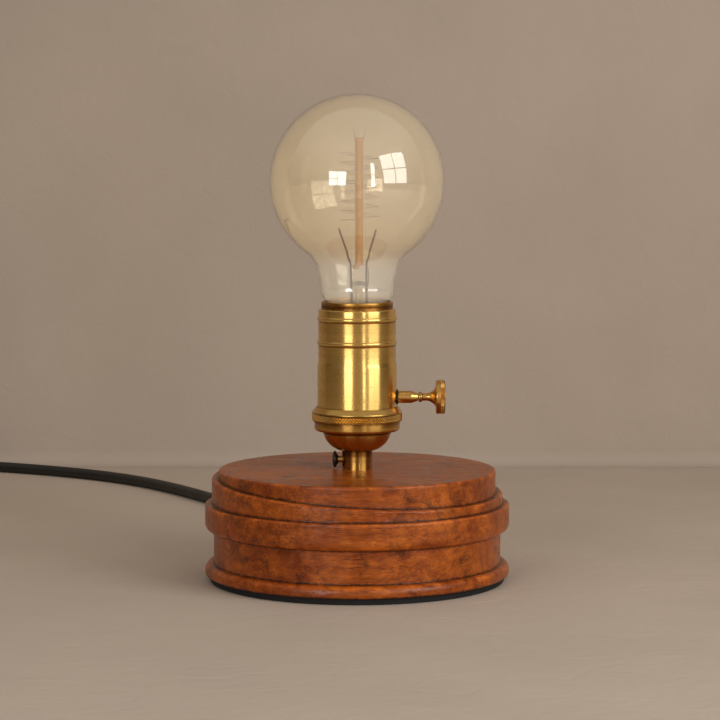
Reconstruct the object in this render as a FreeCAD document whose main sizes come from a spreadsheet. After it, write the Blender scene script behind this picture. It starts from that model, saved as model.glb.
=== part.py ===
import FreeCAD, Part
import math
import os

import Sketcher

# Bare bulb table lamp: a turned wooden base carries a brass lampholder with a turn-knob switch
# and a clear filament globe bulb. All lengths are in millimetres, +Z is up, and the origin is
# the middle of the base's underside on the table. The knob points along +X and the cord
# leaves the back of the base, towards +Y.

Vector = FreeCAD.Vector
UP = Vector(0, 0, 1)

# alias, value, what it measures
SIZES = [
    ("pad_inset", 2.7, "how far the pad's edge lies back under the wood"),
    ("pad_thickness", 3.5, "black pad under the base"),
    ("band_radius", 83.2, "bottom flange and widest band of the wood"),
    ("waist_depth", 4.7, "how far the recessed band lies back from the widest"),
    ("ledge_step", 3.7, "how far the sloping band lies back from the widest"),
    ("table_step", 3.8, "how far the flat top's edge lies back from the sloping band"),
    ("flange_height", 6.5, "thickness of the bottom flange"),
    ("waist_length", 18.0, "height of the recessed band"),
    ("band_height", 14.4, "height of the widest band"),
    ("ledge_rise", 9.95, "height of the sloping band at the lamp's axis"),
    ("ledge_fall_side", 3.06, "degrees that the ledge falls towards +X"),
    ("ledge_fall_front", 1.9, "degrees that the ledge falls towards the front"),
    ("table_rise", 8.35, "rise from there to the wood's flat top"),
    ("wide_round", 3.6, "rounding of the big outer corners"),
    ("small_round", 1.2, "rounding of the other outer corners"),
    ("cavity_radius", 34.0, "hollow under the wood"),
    ("roof_thickness", 16.7, "wood left over the hollow"),
    ("pipe_radius", 5.0, "outside of the threaded pipe"),
    ("pipe_bore", 4.0, "inside radius of the threaded pipe"),
    ("pipe_drop", 9.5, "how far the pipe hangs into the hollow"),
    ("pipe_fit", 0.05, "radial play round the pipe"),
    ("washer_radius", 11.0, "washer on the pipe"),
    ("washer_thickness", 1.5, "washer on the pipe"),
    ("nut_flats", 14.0, "across the flats of the pipe's nut"),
    ("nut_height", 4.0, "thickness of the pipe's nut"),
    ("neck_radius", 8.3, "brass neck on the wood"),
    ("neck_length", 10.0, "length of the neck"),
    ("dome_inset", 3.0, "how far the widest part of the dome lies inside the shell"),
    ("dome_height", 10.5, "height of the dome"),
    ("dome_hollow", 2.1, "how much narrower the dome is at its middle"),
    ("dome_half", 5.4, "height of the dome's middle above the neck"),
    ("cap_rim_step", 1.7, "how far the dome's flange stands out from the shell"),
    ("cap_rim_height", 6.8, "height of that flange"),
    ("brass_wall", 1.0, "thickness of the sheet brass"),
    ("ring_step", 3.0, "how far the knurled ring stands out from the shell"),
    ("ring_knurl_height", 4.7, "height of the knurl"),
    ("ring_bevel_height", 3.0, "height of the ring's bevel"),
    ("ring_lip", 0.7, "width of the ring's flat top"),
    ("shell_lower_length", 30.5, "length of the shell's lower part"),
    ("shell_step_width", 0.5, "how much narrower the shell's upper part is"),
    ("shell_drop", 1.7, "how far the shell's shoulder is under the bulb cap's upper edge"),
    ("bead_lower_drop", 18.3, "how far the lower bead is below the shoulder"),
    ("bead_upper_drop", 5.3, "how far the upper bead is below the shoulder"),
    ("bead_height", 2.4, "height of each bead"),
    ("bead_rise", 0.65, "how far a bead stands out"),
    ("rim_step", 1.7, "how far the rim ring lies back from the shell"),
    ("rim_wall", 1.2, "thickness of the rim ring"),
    ("rim_room", 5.35, "room between the bulb's screw cap and the rim ring"),
    ("rim_rise", 4.0, "how far the rim ring stands over the shoulder"),
    ("rim_depth", 6.5, "length of the rim ring"),
    ("liner_wall", 0.6, "fibre liner inside the shell"),
    ("block_drop", 1.1, "how far the ceramic block's seat is under the shell's step"),
    ("block_thickness", 9.4, "thickness of the ceramic block"),
    ("thread_play", 0.3, "radial play of the bulb's cap in the screw shell"),
    ("screw_wall", 0.5, "thickness of the screw shell"),
    ("screw_drop", 1.3, "how far the screw shell ends under the shoulder"),
    ("knob_rise", 12.0, "height of the switch's shaft over the dome's flange"),
    ("shaft_radius", 1.2, "shaft of the switch"),
    ("shaft_fit", 0.06, "radial play round the shaft"),
    ("sleeve_radius", 3.35, "bearing sleeve outside the shell"),
    ("sleeve_spigot", 2.6, "the sleeve where it passes the shell"),
    ("sleeve_length", 7.9, "straight part of the sleeve outside the shell"),
    ("sleeve_taper", 3.6, "tapered end of the sleeve"),
    ("stem_washer_radius", 4.2, "black washer under the sleeve"),
    ("stem_washer_thickness", 0.7, "black washer under the sleeve"),
    ("knob_gap", 0.3, "gap between the sleeve and the knob"),
    ("knob_collar", 2.8, "radius of the knob's collar"),
    ("knob_stem", 2.1, "radius of the knob's thin stem"),
    ("knob_disc", 9.25, "radius of the knob's round grip"),
    ("knob_stem_length", 9.5, "from the knob's inner end to its round grip"),
    ("knob_grip", 5.1, "thickness of the knob's round grip"),
    ("housing_length", 24.0, "switch housing along the shaft"),
    ("housing_width", 22.0, "switch housing across the shaft"),
    ("rotor_radius", 5.0, "drum of the switch"),
    ("lock_rise", 5.2, "height of the lock screw over the wood"),
    ("lock_radius", 2.0, "shank of the lock screw"),
    ("lock_reach", 2.0, "gap between the neck and the lock screw's head"),
    ("lock_head_radius", 4.5, "head of the lock screw"),
    ("lock_head_length", 3.2, "head of the lock screw"),
    ("globe_radius", 47.5, "outside of the glass globe"),
    ("curl_rise", 5.05, "how far the glass neck is drawn out of the globe"),
    ("glass_wall", 0.9, "thickness of the glass"),
    ("throat_radius", 22.1, "glass neck where it opens into the globe"),
    ("throat_rise", 9.6, "rise from the neck's narrow part to that place"),
    ("throat_lean", 13.0, "degrees that the neck leans out there"),
    ("waist_rise", 10.4, "rise from the screw cap to the neck's narrow part"),
    ("glass_lap", 4.0, "how far the glass reaches into the screw cap"),
    ("cap_radius", 12.95, "bulb's screw cap"),
    ("cap_seat", 8.6, "height of the screw cap's lower edge over the ceramic"),
    ("cap_length", 24.0, "length of the screw cap"),
    ("tip_drop", 4.0, "how far the lower contact is under the screw cap"),
    ("tip_radius", 4.6, "bulb's lower contact"),
    ("rod_offset", 1.1, "how far the glass rod stands to +X"),
    ("rod_radius", 2.1, "amber glass rod"),
    ("rod_reach", 23.9, "how far the rod reaches over the globe's centre"),
    ("stem_length", 15.0, "from the glass's lower edge to the pinched glass"),
    ("pinch_length", 11.6, "length of the pinched glass"),
    ("pinch_width", 10.6, "pinched glass, side to side"),
    ("pinch_depth", 5.0, "pinched glass, front to back"),
    ("stem_radius", 5.2, "clear stem tube under the pinch"),
    ("filament_radius", 10.4, "how far the filament stands from the rod"),
    ("filament_drop", 20.7, "how far the lowest hook is under the globe's centre"),
    ("filament_pitch", 5.2, "rise of the filament in each turn"),
    ("cord_radius", 3.7, "round black cord"),
    ("cord_height", 19.0, "height where the cord leaves the wood"),
    ("cord_direction", 105.0, "degrees from +X to the way the cord leaves"),
    ("cord_fit", 0.05, "radial play round the cord"),
    ("bush_barrel", 5.9, "bush inside the wood"),
    ("bush_depth", 12.0, "length of the bush inside the wood"),
    ("bush_flange", 8.0, "flange of the bush"),
    ("bush_flange_thickness", 2.5, "flange of the bush"),
    ("relief_length", 28.5, "tapered strain relief beyond the flange"),
    ("relief_start", 6.6, "strain relief at the flange"),
    ("relief_end", 4.7, "strain relief at its tip"),
    ("collar_radius", 8.0, "collar that holds the cord inside the wood"),
    ("collar_length", 6.0, "collar that holds the cord inside the wood"),
    ("lead_radius", 1.2, "insulated wire"),
    ("floor_gap", 0.1, "air under the cord on the table"),
    ("coil_radius", 44.0, "middle of the cord's coil"),
    ("coil_lift", 0.8, "the coil's lowest turns above the table"),
    ("tie_width", 12.0, "tie round the coil"),
    ("tie_thickness", 0.7, "tie round the coil"),
    ("plug_length", 34.0, "body of the plug"),
    ("plug_width", 34.0, "body of the plug"),
    ("plug_thickness", 17.0, "body of the plug"),
    ("plug_taper", 24.0, "strain relief of the plug"),
    ("prong_radius", 2.4, "pin of the plug"),
    ("prong_length", 19.0, "pin of the plug"),
    ("prong_spacing", 19.0, "distance between the two pins"),
]

document = FreeCAD.newDocument("BareBulbTableLamp")
sheet = document.addObject("Spreadsheet::Sheet", "Sizes")
for row, (alias, value, note) in enumerate(SIZES, start=1):
    sheet.set(f"A{row}", note)
    sheet.set(f"B{row}", str(value))
    sheet.setAlias(f"B{row}", alias)
document.recompute()


class Size:
    """A size with its value and the formula that gives it from the spreadsheet."""

    def __init__(self, value, formula):
        self.value = value
        self.formula = formula

    def joined(self, other, sign, result):
        return Size(result, f"({self.formula} {sign} {text_of(other)})")

    def __add__(self, other):
        return self.joined(other, "+", self.value + value_of(other))

    def __sub__(self, other):
        return self.joined(other, "-", self.value - value_of(other))

    def __mul__(self, other):
        return self.joined(other, "*", self.value * value_of(other))

    def __truediv__(self, other):
        return self.joined(other, "/", self.value / value_of(other))

    def __neg__(self):
        return Size(-self.value, f"(0 - {self.formula})")

    def root(self):
        return Size(math.sqrt(self.value), f"sqrt({self.formula})")


def value_of(size):
    return size.value if isinstance(size, Size) else float(size)


def text_of(size):
    return size.formula if isinstance(size, Size) else repr(float(size))


def size(alias):
    """The spreadsheet's size of that name."""
    return Size(float(sheet.get(alias)), f"Sizes.{alias}")


class Named:
    """Every size of the spreadsheet as an attribute."""


s = Named()
for alias, value, note in SIZES:
    setattr(s, alias, size(alias))

# Sizes that follow from the ones above, from the table up: the wooden base,
wood_bottom = s.pad_thickness
pad_radius = s.band_radius - s.pad_inset
waist_radius = s.band_radius - s.waist_depth
ledge_radius = s.band_radius - s.ledge_step
table_radius = ledge_radius - s.table_step
flange_top = wood_bottom + s.flange_height
band_bottom = flange_top + s.waist_length
band_top = band_bottom + s.band_height
ledge_height = band_top + s.ledge_rise
table_top = ledge_height + s.table_rise
cavity_roof = table_top - s.roof_thickness
pipe_bottom = cavity_roof - s.pipe_drop
# the lampholder's shell, outwards from the bulb's screw cap,
rim_bore = s.cap_radius + s.rim_room
rim_radius = rim_bore + s.rim_wall
shell_upper_radius = rim_radius + s.rim_step
shell_radius = shell_upper_radius + s.shell_step_width
shell_bore = shell_radius - s.brass_wall
shell_upper_bore = shell_upper_radius - s.brass_wall
# its heights, from the wood up to the screw cap that it surrounds,
neck_top = table_top + s.neck_length
dome_radius = shell_radius - s.dome_inset
dome_bulge = dome_radius - s.dome_hollow
dome_middle = neck_top + s.dome_half
dome_top = neck_top + s.dome_height
cap_rim_radius = shell_radius + s.cap_rim_step
cap_rim_top = dome_top + s.cap_rim_height
ring_radius = shell_radius + s.ring_step
ring_top_radius = shell_radius + s.ring_lip
ring_knurl_top = cap_rim_top + s.ring_knurl_height
ring_top = ring_knurl_top + s.ring_bevel_height
shell_step = cap_rim_top + s.shell_lower_length
block_top = shell_step - s.block_drop
cap_bottom = block_top + s.cap_seat
cap_top = cap_bottom + s.cap_length
shell_top = cap_top - s.shell_drop
bead_lower = shell_top - s.bead_lower_drop
bead_upper = shell_top - s.bead_upper_drop
rim_top = shell_top + s.rim_rise
lock_height = table_top + s.lock_rise
lock_head_start = s.neck_radius + s.lock_reach
# its inside and its switch,
screw_bore = s.cap_radius + s.thread_play
screw_top = shell_top - s.screw_drop
knob_height = cap_rim_top + s.knob_rise
sleeve_shoulder = shell_radius + s.sleeve_length
sleeve_end = sleeve_shoulder + s.sleeve_taper
knob_start = sleeve_end + s.knob_gap
knob_disc_start = knob_start + s.knob_stem_length
knob_end = knob_disc_start + s.knob_grip
# and the bulb.
tip_height = cap_bottom - s.tip_drop
glass_foot = cap_top - s.glass_lap
waist_height = cap_top + s.waist_rise
throat_height = waist_height + s.throat_rise
throat_depth = (s.globe_radius * s.globe_radius - s.throat_radius * s.throat_radius).root()
globe_height = throat_height + throat_depth + s.curl_rise
pinch_bottom = glass_foot + s.stem_length
pinch_top = pinch_bottom + s.pinch_length
rod_top = globe_height + s.rod_reach
filament_bottom = globe_height - s.filament_drop
nut_top = cavity_roof - s.washer_thickness
relief_tip = waist_radius + s.bush_flange_thickness + s.relief_length
cord_floor = s.cord_radius + s.floor_gap
spring_gap = 0.3

# ---------------------------------------------------------------------------------------------
# Ways of making a piece
# ---------------------------------------------------------------------------------------------
ALONG_X = FreeCAD.Rotation(Vector(0, 1, 0), 90)
ALONG_MINUS_X = FreeCAD.Rotation(Vector(0, 1, 0), -90)
ALONG_MINUS_Y = FreeCAD.Rotation(Vector(1, 0, 0), 90)
CORD_WAY = FreeCAD.Rotation(UP, s.cord_direction.value) * ALONG_X
UPRIGHT = FreeCAD.Rotation()


def bind(item, **sizes):
    """Binds an object's properties to the spreadsheet."""
    for name, amount in sizes.items():
        item.setExpression(name, text_of(amount))


def place(item, x=0.0, y=0.0, z=0.0, turn=UPRIGHT):
    """Puts an object down, with its place bound to the spreadsheet."""
    base = Vector(value_of(x), value_of(y), value_of(z))
    item.Placement = FreeCAD.Placement(base, turn)
    for axis, amount in (("x", x), ("y", y), ("z", z)):
        if isinstance(amount, Size):
            item.setExpression(f"Placement.Base.{axis}", amount.formula)
    return item


def cylinder(name, radius, height, x=0.0, y=0.0, z=0.0, turn=UPRIGHT):
    item = document.addObject("Part::Cylinder", name)
    bind(item, Radius=radius, Height=height)
    return place(item, x, y, z, turn)


def cone(name, bottom, top, height, x=0.0, y=0.0, z=0.0, turn=UPRIGHT):
    item = document.addObject("Part::Cone", name)
    bind(item, Radius1=bottom, Radius2=top, Height=height)
    return place(item, x, y, z, turn)


def box(name, length, width, height, x=0.0, y=0.0, z=0.0, turn=UPRIGHT):
    """A box whose corner is at x, y, z."""
    item = document.addObject("Part::Box", name)
    bind(item, Length=length, Width=width, Height=height)
    return place(item, x, y, z, turn)


def cut(name, base, tool):
    item = document.addObject("Part::Cut", name)
    item.Base = base
    item.Tool = tool
    return item


def fuse(name, *shapes):
    item = document.addObject("Part::MultiFuse", name)
    item.Shapes = list(shapes)
    item.Refine = True
    return item


def free_shape(name, shape):
    """A piece that only a sweep or a surface of revolution of its own can make."""
    item = document.addObject("Part::Feature", name)
    item.Shape = shape
    return item


def arc_through(start, middle, end):
    """An arc for a sketch, and whether its own start is the start given."""
    circle = Part.Circle(start, middle, end)
    first = math.atan2(start.y - circle.Center.y, start.x - circle.Center.x)
    last = math.atan2(end.y - circle.Center.y, end.x - circle.Center.x)
    forward = (middle - start).cross(end - middle).z > 0
    if not forward:
        first, last = last, first
    if last < first:
        last += 2 * math.pi
    return Part.ArcOfCircle(Part.Circle(circle.Center, UP, circle.Radius), first, last), forward


def crown_middle(radius, foot, top):
    """A point halfway out on the shallow round crown from (radius, foot) to the axis at top."""
    rise = top - foot
    ball = (radius * radius + rise * rise) / (rise * 2)
    return radius / 2, top - ball + (ball * ball - radius * radius / 4).root()


def hold(sketch, geometry, point, radius, height):
    """Ties a point of a sketch to its two sizes."""
    if value_of(radius) == 0.0:
        sketch.addConstraint(Sketcher.Constraint("PointOnObject", geometry, point, -2))
    else:
        index = sketch.addConstraint(Sketcher.Constraint("DistanceX", -1, 1, geometry, point, value_of(radius)))
        sketch.setExpression(f"Constraints[{index}]", text_of(radius))
    index = sketch.addConstraint(Sketcher.Constraint("DistanceY", -1, 1, geometry, point, value_of(height)))
    sketch.setExpression(f"Constraints[{index}]", text_of(height))


def turned(name, outline, x=0.0, y=0.0, z=0.0, turn=UPRIGHT):
    """A body turned about its own Z axis from an outline of (radius, height) corners.

    A corner with a third entry, (radius, height, (radius, height)), ends an arc that passes
    through the point given there.
    """
    body = document.addObject("PartDesign::Body", name)
    sketch = body.newObject("Sketcher::SketchObject", name + "Outline")
    plane = next(p for p in body.Origin.OriginFeatures if p.Role == "XZ_Plane")
    sketch.AttachmentSupport = [(plane, "")]
    sketch.MapMode = "FlatFace"
    corners = [Vector(value_of(c[0]), value_of(c[1]), 0) for c in outline]
    ends = []
    for index, corner in enumerate(outline):
        start, end = corners[index - 1], corners[index]
        if len(corner) > 2:
            middle = Vector(value_of(corner[2][0]), value_of(corner[2][1]), 0)
            curve, forward = arc_through(start, middle, end)
        else:
            curve, forward = Part.LineSegment(start, end), True
        sketch.addGeometry(curve, False)
        ends.append((1, 2) if forward else (2, 1))
    for index, corner in enumerate(outline):
        following = (index + 1) % len(outline)
        sketch.addConstraint(
            Sketcher.Constraint("Coincident", index, ends[index][1], following, ends[following][0])
        )
        hold(sketch, index, ends[index][1], corner[0], corner[1])
        if len(corner) > 2:
            on_arc = Vector(value_of(corner[2][0]), value_of(corner[2][1]), 0)
            point = sketch.addGeometry(Part.Point(on_arc), True)
            hold(sketch, point, 1, corner[2][0], corner[2][1])
            sketch.addConstraint(Sketcher.Constraint("PointOnObject", point, 1, index))
    feature = body.newObject("PartDesign::Revolution", name + "Turned")
    feature.Profile = sketch
    feature.ReferenceAxis = (sketch, ["V_Axis"])
    feature.Angle = 360
    return place(body, x, y, z, turn)


def soften(body, radius, *rings):
    """Rounds the circular edges of a turned body that have these radii and heights."""
    document.recompute()
    base = body.Tip
    names = []
    for number, edge in enumerate(base.Shape.Edges, start=1):
        if not isinstance(edge.Curve, Part.Circle):
            continue
        for ring_radius, ring_height in rings:
            near_radius = abs(edge.Curve.Radius - value_of(ring_radius)) < 0.001
            near_height = abs(edge.Curve.Center.z - value_of(ring_height)) < 0.001
            if near_radius and near_height:
                names.append(f"Edge{number}")
    fillet = body.newObject("PartDesign::Fillet", base.Name + "Rounded")
    fillet.Base = (base, names)
    fillet.setExpression("Radius", text_of(radius))
    return body


def sleeve(name, inner, outer, bottom, top, x=0.0, y=0.0, z=0.0, turn=UPRIGHT):
    """A straight tube or washer."""
    outline = [(inner, bottom), (outer, bottom), (outer, top), (inner, top)]
    return turned(name, outline, x, y, z, turn)


def group(name, *pieces):
    """Like pieces that share one node as separate solids."""
    item = document.addObject("Part::Compound", name)
    item.Links = list(pieces)
    return item


def rounded_route(points, share):
    """Straight runs joined by tangent arcs that take up this share of the shorter run."""
    edges = []
    radii = []
    start = points[0]
    for before, corner, after in zip(points, points[1:], points[2:]):
        back, ahead = before - corner, after - corner
        half_turn = (math.pi - back.getAngle(ahead)) / 2
        trim = share * min(back.Length, ahead.Length)
        radius = trim / math.tan(half_turn)
        back.normalize()
        ahead.normalize()
        inward = (back + ahead).normalize()
        enter, leave = corner + back * trim, corner + ahead * trim
        crown = corner + inward * (radius / math.cos(half_turn) - radius)
        edges.append(Part.LineSegment(start, enter).toShape())
        edges.append(Part.Arc(enter, crown, leave).toShape())
        radii.append(radius)
        start = leave
    edges.append(Part.LineSegment(start, points[-1]).toShape())
    return Part.Wire(edges), radii


def swept(points, radius, share=0.45):
    """A round bar along a route, with the route's length and its smallest radius."""
    route, radii = rounded_route(points, share)
    first = points[1] - points[0]
    section = Part.Wire([Part.Circle(points[0], first, radius).toShape()])
    bar = route.makePipeShell([section], True, False)
    expected = math.pi * radius**2 * route.Length
    if abs(bar.Volume - expected) > 0.01 * expected:
        raise ValueError(f"the bar's volume is {bar.Volume:.1f}, not {expected:.1f}")
    return bar, route.Length, min(radii)


# ---------------------------------------------------------------------------------------------
# The wooden base
# ---------------------------------------------------------------------------------------------
base_pad = cylinder("base_pad", pad_radius, s.pad_thickness)

blank = turned(
    "WoodBlank",
    [
        (0, wood_bottom),
        (s.band_radius, wood_bottom),
        (s.band_radius, flange_top),
        (waist_radius, flange_top),
        (waist_radius, band_bottom),
        (s.band_radius, band_bottom),
        (s.band_radius, band_top),
        (table_radius, band_top),
        (table_radius, table_top),
        (0, table_top),
    ],
)
soften(blank, s.wide_round, (s.band_radius, flange_top), (s.band_radius, band_bottom))
soften(
    blank,
    s.small_round,
    (s.band_radius, wood_bottom),
    (s.band_radius, band_top),
    (table_radius, table_top),
)

# The ledge round the top was cut at a slant: it falls towards the knob's side and the front.
slope_side = math.tan(math.radians(s.ledge_fall_side.value))
slope_front = math.tan(math.radians(s.ledge_fall_front.value))
ledge_reach = ledge_radius.value * (slope_side + slope_front)
ledge_disc = cylinder(
    "LedgeDisc", ledge_radius, ledge_height - band_top + ledge_reach, z=band_top
)
slant = FreeCAD.Placement(
    Vector(0, 0, ledge_height.value),
    FreeCAD.Rotation(UP, Vector(slope_side, -slope_front, 1)),
)
above = box("AboveLedge", ledge_radius * 4, ledge_radius * 4, ledge_height)
above.Placement = slant * FreeCAD.Placement(
    Vector(-2 * ledge_radius.value, -2 * ledge_radius.value, 0), UPRIGHT
)
ledge = cut("LedgeSlanted", ledge_disc, above)
document.recompute()
ledge_rounded = document.addObject("Part::Fillet", "LedgeRounded")
ledge_rounded.Base = ledge
ledge_rounded.Edges = [
    (number, s.small_round.value, s.small_round.value)
    for number, edge in enumerate(ledge.Shape.Edges, start=1)
    if isinstance(edge.Curve, Part.Ellipse)
]
wood_solid = fuse("WoodSolid", blank, ledge_rounded)

cavity = cylinder(
    "WoodCavity", s.cavity_radius, cavity_roof - wood_bottom, z=wood_bottom
)
pipe_hole = cylinder("WoodPipeHole", s.pipe_radius + s.pipe_fit, table_top, z=wood_bottom)
cord_hole = cylinder(
    "WoodCordHole", s.cord_radius * 1.2, s.band_radius, z=s.cord_height, turn=CORD_WAY
)
bush_start = waist_radius - s.bush_depth
bush_seat = cylinder("WoodBushSeat", s.bush_barrel, s.bush_depth * 2, z=s.cord_height, turn=CORD_WAY)
bush_away = CORD_WAY.multVec(Vector(0, 0, bush_start.value))
bush_seat.Placement.Base = Vector(bush_away.x, bush_away.y, s.cord_height.value)
wood_base = cut("wood_base", wood_solid, fuse("WoodHollows", cavity, pipe_hole, cord_hole, bush_seat))

# ---------------------------------------------------------------------------------------------
# The threaded pipe that holds the lampholder to the wood
# ---------------------------------------------------------------------------------------------
pipe_top = neck_top + s.brass_wall * 2
threaded_pipe = sleeve("threaded_pipe", s.pipe_bore, s.pipe_radius, pipe_bottom, pipe_top)
pipe_washer = sleeve(
    "pipe_washer", s.pipe_radius + s.pipe_fit, s.washer_radius, nut_top, cavity_roof
)
nut_bottom = nut_top - s.nut_height
nut_blank = document.addObject("Part::Prism", "NutBlank")
nut_blank.Polygon = 6
bind(nut_blank, Circumradius=s.nut_flats / (2 * math.cos(math.pi / 6)), Height=s.nut_height)
place(nut_blank, z=nut_bottom)
nut_hole = cylinder("NutHole", s.pipe_radius + s.pipe_fit, s.nut_height, z=nut_bottom)
pipe_nut = cut("pipe_nut", nut_blank, nut_hole)

# ---------------------------------------------------------------------------------------------
# The brass lampholder's outside
# ---------------------------------------------------------------------------------------------
pipe_clear = s.pipe_radius + s.pipe_fit
cap_solid = turned(
    "CapSolid",
    [
        (pipe_clear, table_top),
        (s.neck_radius, table_top),
        (s.neck_radius, neck_top),
        (dome_radius, dome_top, (dome_bulge, dome_middle)),
        (cap_rim_radius, dome_top),
        (cap_rim_radius, cap_rim_top),
        (shell_bore, cap_rim_top),
        (shell_bore, dome_top + s.brass_wall),
        (dome_radius - s.brass_wall, dome_top + s.brass_wall),
        (
            s.neck_radius,
            neck_top + s.brass_wall * 1.5,
            (dome_bulge - s.brass_wall, dome_middle + s.brass_wall * 0.9),
        ),
        (pipe_clear, neck_top + s.brass_wall * 1.5),
    ],
)
soften(cap_solid, s.small_round, (cap_rim_radius, dome_top))
lock_hole = cylinder(
    "LockHole", s.lock_radius + s.shaft_fit, s.neck_radius * 1.5, z=lock_height, turn=ALONG_MINUS_X
)
socket_cap = cut("socket_cap", cap_solid, lock_hole)

knurled_ring = turned(
    "knurled_ring",
    [
        (shell_radius, cap_rim_top),
        (ring_radius, cap_rim_top),
        (ring_radius, ring_knurl_top),
        (ring_top_radius, ring_top),
        (shell_radius, ring_top),
    ],
)

half_bead = s.bead_height / 2
bead_out = shell_upper_radius + s.bead_rise
lip = shell_top - s.brass_wall
shell_solid = turned(
    "ShellSolid",
    [
        (shell_bore, cap_rim_top),
        (shell_radius, cap_rim_top),
        (shell_radius, shell_step - s.brass_wall / 2),
        (shell_upper_radius, shell_step),
        (shell_upper_radius, bead_lower - half_bead),
        (shell_upper_radius, bead_lower + half_bead, (bead_out, bead_lower)),
        (shell_upper_radius, bead_upper - half_bead),
        (shell_upper_radius, bead_upper + half_bead, (bead_out, bead_upper)),
        (shell_upper_radius, lip),
        (
            shell_upper_radius - s.brass_wall,
            shell_top,
            (shell_upper_radius - s.brass_wall * 0.3, shell_top - s.brass_wall * 0.3),
        ),
        (rim_radius, shell_top),
        (rim_radius, lip),
        (shell_upper_bore, lip),
        (shell_upper_bore, block_top + s.brass_wall / 2),
        (shell_bore, block_top),
    ],
)
stem_hole = cylinder(
    "StemHole", s.sleeve_spigot, shell_radius * 1.5, z=knob_height, turn=ALONG_X
)
socket_shell = cut("socket_shell", shell_solid, stem_hole)

rim_bottom = rim_top - s.rim_depth
rim_roll = rim_top - (rim_radius - rim_bore) / 2
shell_rim = turned(
    "shell_rim",
    [
        (rim_bore, rim_bottom),
        (shell_upper_bore, rim_bottom),
        (shell_upper_bore, lip),
        (rim_radius, lip),
        (rim_radius, rim_roll),
        (rim_bore, rim_roll, ((rim_radius + rim_bore) / 2, rim_top)),
    ],
)
insulating_liner = sleeve(
    "insulating_liner", shell_upper_bore - s.liner_wall, shell_upper_bore, block_top, rim_bottom
)

# The lock screw stands at -X. Its shank slides and its head turns as it is undone.
lock_shank = cylinder(
    "lock_shank",
    s.lock_radius,
    lock_head_start - s.pipe_radius - spring_gap,
    x=-(s.pipe_radius + spring_gap),
    z=lock_height,
    turn=ALONG_MINUS_X,
)
lock_head_edge = lock_head_start + s.lock_head_length * 0.75
lock_head_end = lock_head_start + s.lock_head_length
lock_head = turned(
    "lock_head",
    [
        (0, lock_head_start),
        (s.lock_radius * 1.1, lock_head_start),
        (s.lock_head_radius, lock_head_start + s.lock_head_length * 0.6),
        (s.lock_head_radius, lock_head_edge),
        (0, lock_head_end, crown_middle(s.lock_head_radius, lock_head_edge, lock_head_end)),
    ],
    z=lock_height,
    turn=ALONG_MINUS_X,
)

# ---------------------------------------------------------------------------------------------
# Inside the lampholder
# ---------------------------------------------------------------------------------------------
block_bottom = block_top - s.block_thickness
boss_radius = screw_bore / 2
boss_top = block_top + s.brass_wall * 1.6
terminal_depth = 4.5
terminal_shank = 1.5
terminal_head = 3.0
terminal_head_height = 2.4
terminal_gap = 1.5
terminal_place = s.housing_width.value / 2 + terminal_gap + terminal_head
housing_half = block_bottom - knob_height
housing_screw_place = 8.5
housing_screw_shank = 1.25
housing_screw_head = 2.3
housing_screw_head_height = 1.8
housing_screw_grip = 5.0
SIDES = (("front", -1), ("back", 1))

block_solid = turned(
    "BlockSolid",
    [
        (0, block_bottom),
        (shell_bore, block_bottom),
        (shell_bore, block_top),
        (boss_radius, block_top),
        (boss_radius, boss_top),
        (0, boss_top),
    ],
)
screw_holes = []
terminals = []
housing_fasteners = []
housing_holes = []
for side, sign in SIDES:
    screw_holes.append(
        cylinder(f"TerminalHole_{side}", terminal_shank, terminal_depth, y=sign * terminal_place, z=block_bottom)
    )
    terminals.append(
        fuse(
            f"Terminal_{side}",
            cylinder(f"TerminalShank_{side}", terminal_shank, terminal_depth, y=sign * terminal_place, z=block_bottom),
            cylinder(
                f"TerminalHead_{side}",
                terminal_head,
                terminal_head_height,
                y=sign * terminal_place,
                z=block_bottom - terminal_head_height,
            ),
        )
    )
    fastener_length = housing_half * 2 + housing_screw_grip
    fastener_bottom = knob_height - housing_half
    screw_holes.append(
        cylinder(
            f"BlockScrewHole_{side}",
            housing_screw_shank,
            housing_screw_grip,
            y=sign * housing_screw_place,
            z=block_bottom,
        )
    )
    housing_holes.append(
        cylinder(
            f"HousingScrewHole_{side}",
            housing_screw_shank,
            housing_half * 2,
            y=sign * housing_screw_place,
            z=fastener_bottom,
        )
    )
    housing_fasteners.append(
        fuse(
            f"HousingScrew_{side}",
            cylinder(
                f"HousingShank_{side}",
                housing_screw_shank,
                fastener_length,
                y=sign * housing_screw_place,
                z=fastener_bottom,
            ),
            cylinder(
                f"HousingHead_{side}",
                housing_screw_head,
                housing_screw_head_height,
                y=sign * housing_screw_place,
                z=fastener_bottom - housing_screw_head_height,
            ),
        )
    )
socket_body = cut("socket_body", block_solid, fuse("BlockHoles", *screw_holes))
terminal_screws = group("terminal_screws", *terminals)
housing_screws = group("housing_screws", *housing_fasteners)

screw_shell = turned(
    "screw_shell",
    [
        (boss_radius, block_top),
        (screw_bore + s.screw_wall, block_top),
        (screw_bore + s.screw_wall, screw_top),
        (screw_bore, screw_top),
        (screw_bore, block_top + s.screw_wall),
        (boss_radius, block_top + s.screw_wall),
    ],
)

leaf_length = boss_radius * 1.3
leaf_width = 5.0
leaf_thickness = 0.4
leaf_left = -leaf_length * 0.6
leaf_top = tip_height - spring_gap
centre_contact = fuse(
    "centre_contact",
    box("LeafFoot", leaf_length, leaf_width, leaf_thickness, leaf_left, -leaf_width / 2, boss_top),
    box(
        "LeafRiser",
        leaf_thickness,
        leaf_width,
        leaf_top - boss_top,
        leaf_left,
        -leaf_width / 2,
        boss_top,
    ),
    box(
        "LeafTop",
        leaf_length,
        leaf_width,
        leaf_thickness,
        leaf_left,
        -leaf_width / 2,
        leaf_top - leaf_thickness,
    ),
)

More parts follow.
